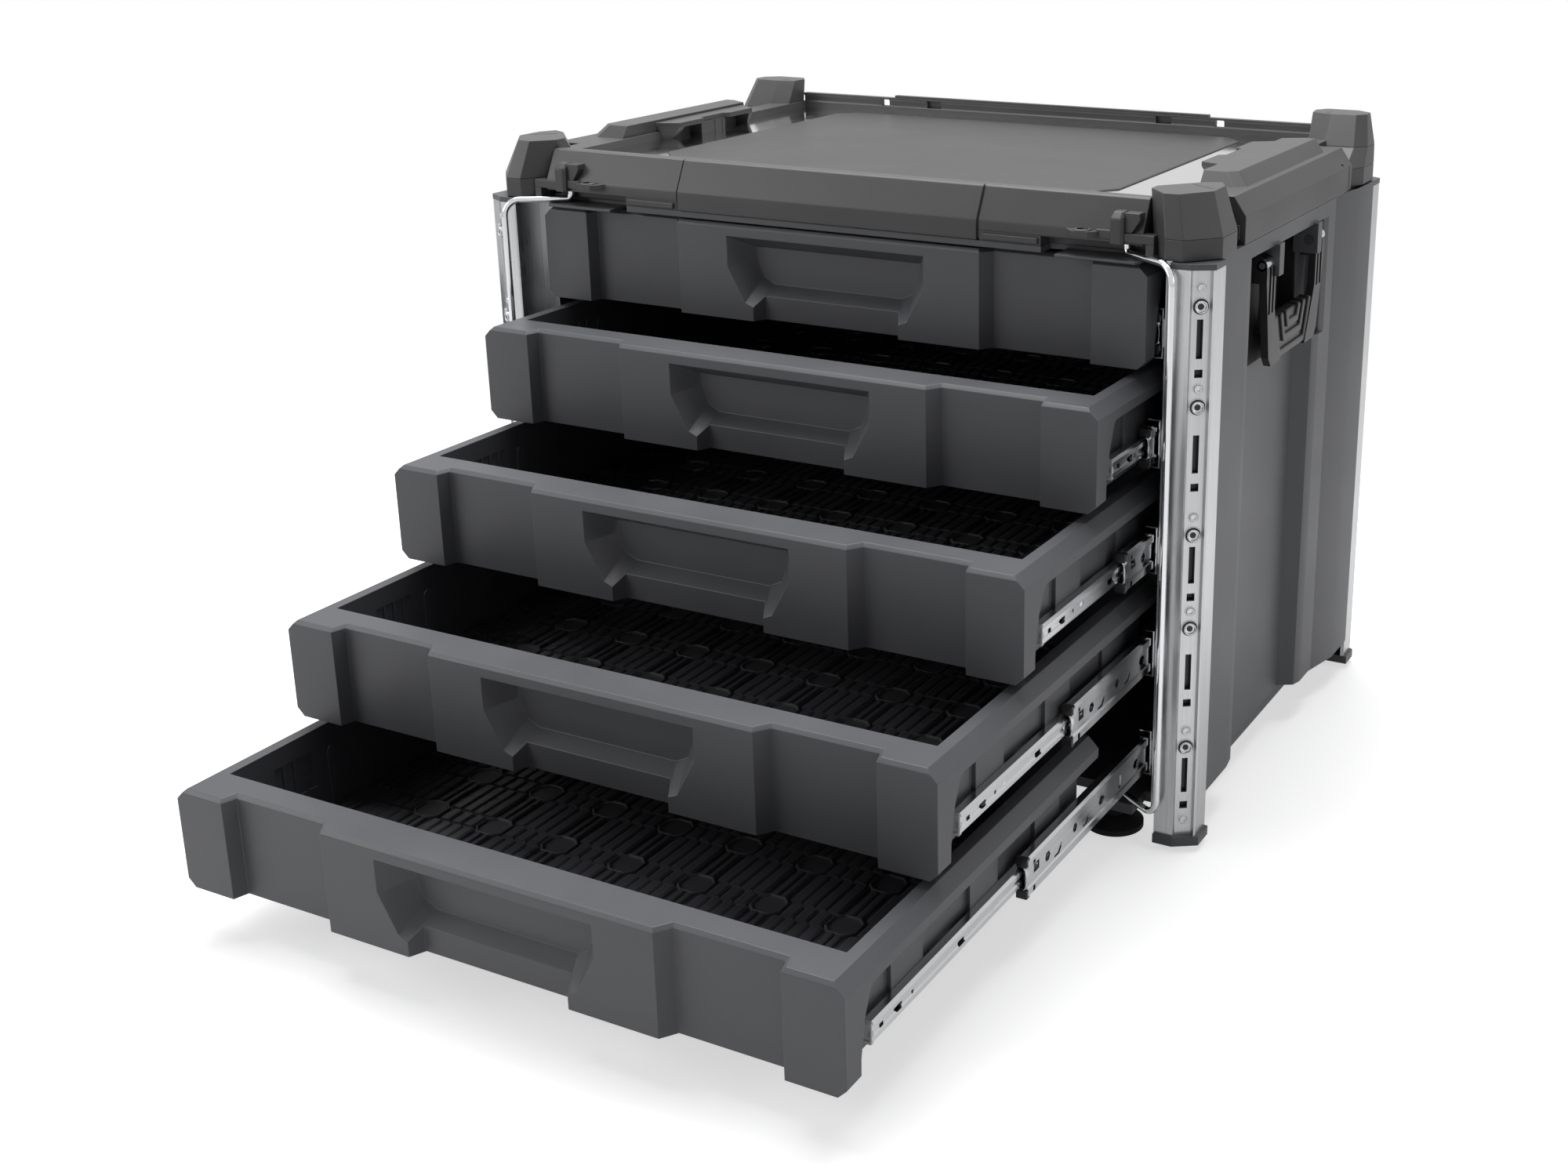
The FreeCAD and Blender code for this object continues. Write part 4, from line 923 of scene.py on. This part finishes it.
def handle_forms():
    """Right-hand handle in parts: finned arms with round shoulders, and a grip with nested ribs."""
    low, high = limits("carry_handle_right")
    middle = (low.y + high.y) / 2
    low, high = limits("handle_pins")
    hinge = round(high.x - (high.z - low.z) / 2, 1)
    pin = round((low.z + high.z) / 2, 1)
    face = hinge + 4
    inner, outer, thick = 46, 66, 5.6

    def seen(points, sign=1):
        """Points along and up from the middle of the pin, as places of the case."""
        return [(middle + sign * along, pin + up) for along, up in points]

    arm = [(outer, -12), (55, -69), (49, -76), (28, -76), (42, -44), (inner, -34), (inner, -12)]
    shoulder = [(hinge - 8.5, pin - 13), (hinge - 8.5, pin + 5.5), (hinge - 2.5, pin + 5.5),
                (hinge + 0.8, pin + 4.4), (hinge + 3.2, pin + 1.2), (face, pin - 4), (face, pin - 13)]
    grip = [(41, -43), (27, -75), (-27, -75), (-41, -43)]
    parts = [rounded(solid(prism(seen(grip), "X", hinge - 7, face - 2.4)), 1.6)]
    for sign in (1, -1):
        near, far = sorted((middle + sign * inner, middle + sign * outer))
        limb = joined(solid(prism(seen(arm, sign), "X", face - thick, face)),
                      solid(prism(shoulder, "Y", near, far)))
        grooves = []
        for start, wide in ((49.4, 3.6), (56.4, 4)):
            run = sorted((middle + sign * start, middle + sign * (start + wide)))
            grooves += [cuboid((face - 1.6, face + 5), run, (pin - 36, pin)),
                        cuboid((hinge - 5, face + 5), run, (pin + 3.4, pin + 12))]
        bore = turned([(2.3, 0), (2.3, 30)], (hinge, near - 3, pin), (0, 1, 0), sides=20)
        parts.append(rounded(cut(limb, *grooves, bore), 0.7))
    for path in ([(39, -42), (28, -71.5), (-28, -71.5), (-39, -42)],
                 [(26, -42), (18.5, -61.5), (-18.5, -61.5), (-26, -42)],
                 [(14.5, -42), (10.5, -52.5), (-10.5, -52.5), (-14.5, -42)]):
        parts.append(rounded(solid(prism(seen(strip(path, 5.2)), "X", hinge - 5, face - 0.6)), 0.9))
    return joined(*parts)


def carry_handles():
    """Both handles; the left one is the likeness of the right."""
    right = handle_forms()
    for side, mesh in (("right", right), ("left", mirrored(right))):
        node = "carry_handle_" + side
        new_piece(node + ".moulded", mesh, NYLON, BODY_OF[node], (node,))


def rear_flanges():
    """Thin wings of the side walls that reach over the rear posts."""
    low, high = limits("case_right_wall")
    wing = prism([(289.6, 90), (298.5, 130), (298.5, 170), (297.4, 172), (296.9, 172), (296.9, 131),
                  (289.6, 98)], "Z", low.z + 10, high.z)
    new_piece("rear_flanges", pair(rounded(solid(wing), 0.4)), GREY, "case")


def bay_shade_liners():
    """Painted shade: black cups in the wells behind the handles, and the plate between them, that stand
    in for the shade deep in the wells.
    """
    bottom, lip, head, skin = 266, 278.4, 410.6, 0.5
    plate = (279.3, 280.1)
    forms = [cuboid(plate, (-65.6, -47.4), (324.6, head)), cuboid(plate, (-47.6, -30), (324.6, 344.6))]
    for near, far, foot in ((-92.6, -66.4, 324.6), (-46.6, 36.6, 345.6)):
        forms += [cuboid((bottom - 0.2, bottom + 0.4), (near, far), (foot, head)),
                  cuboid((bottom, lip), (near, near + skin), (foot, head)),
                  cuboid((bottom, lip), (far - skin, far), (foot, head)),
                  cuboid((bottom, lip), (near, far), (foot, foot + skin)),
                  cuboid((bottom, lip), (near, far), (head - skin, head))]
    # The matt black rubber finish here stands in for the shade in the wells.
    new_piece("handle_bays", pair(solid(*forms)), RUBBER_AND_BAY_SHADE, "case")


finish_nodes()
slide_members()
slide_ends()
post_fasteners()
channel_strips()
grip_mats()
wall_tongues()
lid_frame()
lid_plates()
towers()
lid_bar()
tower_slots()
carry_handles()
bay_shade_liners()
rear_flanges()


# --- Studio -----------------------------------------------

def softbox(name, location, aim, size, watts):
    """A soft rectangular lamp, placed in metres, that looks at a point."""
    data = bpy.data.lights.new(name, "AREA")
    data.shape = "RECTANGLE"
    data.size, data.size_y = size
    data.energy = watts
    lamp = bpy.data.objects.new(name, data)
    lamp.location = location
    lamp.rotation_euler = (Vector(aim) - Vector(location)).to_track_quat("-Z", "Y").to_euler()
    bpy.context.scene.collection.objects.link(lamp)


def white_studio():
    """World that lights softly, mirrors as pale grey and shows plain white to the camera."""
    world = bpy.data.worlds.new("studio")
    bpy.context.scene.world = world
    world.use_nodes = True
    tree = world.node_tree
    tree.nodes.clear()
    rays = add(tree, "ShaderNodeLightPath")
    white = (1, 1, 1, 1)
    fill = add(tree, "ShaderNodeBackground", {"Color": white, "Strength": 0.05})
    mirror = add(tree, "ShaderNodeBackground", {"Color": white, "Strength": 0.78})
    shown = add(tree, "ShaderNodeBackground", {"Color": white, "Strength": 1.0})
    glossy = add(tree, "ShaderNodeMixShader", i0=rays.outputs["Is Glossy Ray"], i1=fill.outputs[0],
                 i2=mirror.outputs[0])
    looked_at = add(tree, "ShaderNodeMath", {"operation": "ADD"}, i0=rays.outputs["Is Camera Ray"],
                    i1=rays.outputs["Is Transmission Ray"])
    mix = add(tree, "ShaderNodeMixShader", i0=looked_at.outputs[0], i1=glossy.outputs[0],
              i2=shown.outputs[0])
    add(tree, "ShaderNodeOutputWorld", Surface=mix.outputs[0])


def pale_floor():
    """Seamless paper floor that keeps a soft shadow near the case and fades to pure white."""
    size = 30.0
    mesh = bpy.data.meshes.new("studio_floor")
    corners = [(-size, -size, 0), (size, -size, 0), (size, size, 0), (-size, size, 0)]
    mesh.from_pydata(corners, [], [(0, 1, 2, 3)])
    material = bpy.data.materials.new("white_paper")
    material.use_nodes = True
    tree = material.node_tree
    tree.nodes.clear()
    rays = add(tree, "ShaderNodeLightPath")
    # The camera sees all of the paper's own white, and gloss on the case sees less than half of it.
    gloss = add(tree, "ShaderNodeMath", {"operation": "MULTIPLY", 1: 0.45},
                i0=rays.outputs["Is Glossy Ray"])
    direct = add(tree, "ShaderNodeMath", {"operation": "ADD"}, i0=rays.outputs["Is Camera Ray"],
                 i1=rays.outputs["Is Transmission Ray"])
    looked_at = add(tree, "ShaderNodeMath", {"operation": "MAXIMUM"}, i0=direct.outputs[0],
                    i1=gloss.outputs[0]).outputs[0]
    lift = add(tree, "ShaderNodeMath", {"operation": "MULTIPLY", 1: 0.6}, i0=looked_at)
    glow = add(tree, "ShaderNodeEmission", Strength=lift.outputs[0])
    paper = add(tree, "ShaderNodeBsdfDiffuse", {"Color": linear("#eeeeee")})
    near = add(tree, "ShaderNodeAddShader", i0=paper.outputs[0], i1=glow.outputs[0])
    # Between two distances in metres from a point under the drawers, paper turns to plain white.
    place = add(tree, "ShaderNodeTexCoord").outputs["Object"]
    centred = add(tree, "ShaderNodeMapping", {"Location": (0, 0.2, 0)}, Vector=place)
    reach = add(tree, "ShaderNodeVectorMath", {"operation": "LENGTH"}, i0=centred.outputs["Vector"])
    fade = add(tree, "ShaderNodeMapRange", {"From Min": 0.75, "From Max": 1.35},
               Value=reach.outputs["Value"])
    seen = add(tree, "ShaderNodeMath", {"operation": "MULTIPLY"}, i0=looked_at,
               i1=fade.outputs["Result"])
    white = add(tree, "ShaderNodeEmission")
    mix = add(tree, "ShaderNodeMixShader", i0=seen.outputs[0], i1=near.outputs[0], i2=white.outputs[0])
    add(tree, "ShaderNodeOutputMaterial", Surface=mix.outputs[0])
    mesh.materials.append(material)
    floor = bpy.data.objects.new("studio_floor", mesh)
    bpy.context.scene.collection.objects.link(floor)


def camera():
    """Camera a little above the case, to the right of its front."""
    wide, high = 2000, 1500
    # Focal length and optical axis in pixels of that frame, counted from its top left corner.
    focal, across, down = 2456.0, 1234.2, 602.4
    spot = Vector((716.4, -1343.1, 680.9)) * MM
    yaw, pitch, roll = (math.radians(angle) for angle in (27.41, 18.07, -0.19))
    data = bpy.data.cameras.new("camera")
    data.sensor_fit = "HORIZONTAL"
    data.sensor_width = 36.0
    data.lens = focal * data.sensor_width / wide
    data.shift_x = -(across - wide / 2) / wide
    data.shift_y = (down - high / 2) / wide
    lens = bpy.data.objects.new("camera", data)
    turn = Euler((math.pi / 2 - pitch, 0, yaw), "XYZ").to_matrix().to_4x4()
    lens.matrix_world = Matrix.Translation(spot) @ turn @ Matrix.Rotation(roll, 4, "Z")
    bpy.context.scene.collection.objects.link(lens)
    bpy.context.scene.camera = lens


white_studio()
pale_floor()
camera()
softbox("softbox_above", (-0.3, 0.2, 2.2), (0, -0.1, 0.3), (2.2, 1.8), 60)
softbox("softbox_left", (-1.9, -1.7, 1.3), (0, -0.3, 0.2), (1.3, 1.3), 17)
softbox("softbox_right", (2.5, 0.1, 1.0), (0.2, -0.2, 0.2), (0.8, 1.0), 7)

bpy.context.scene.view_settings.view_transform = "Standard"
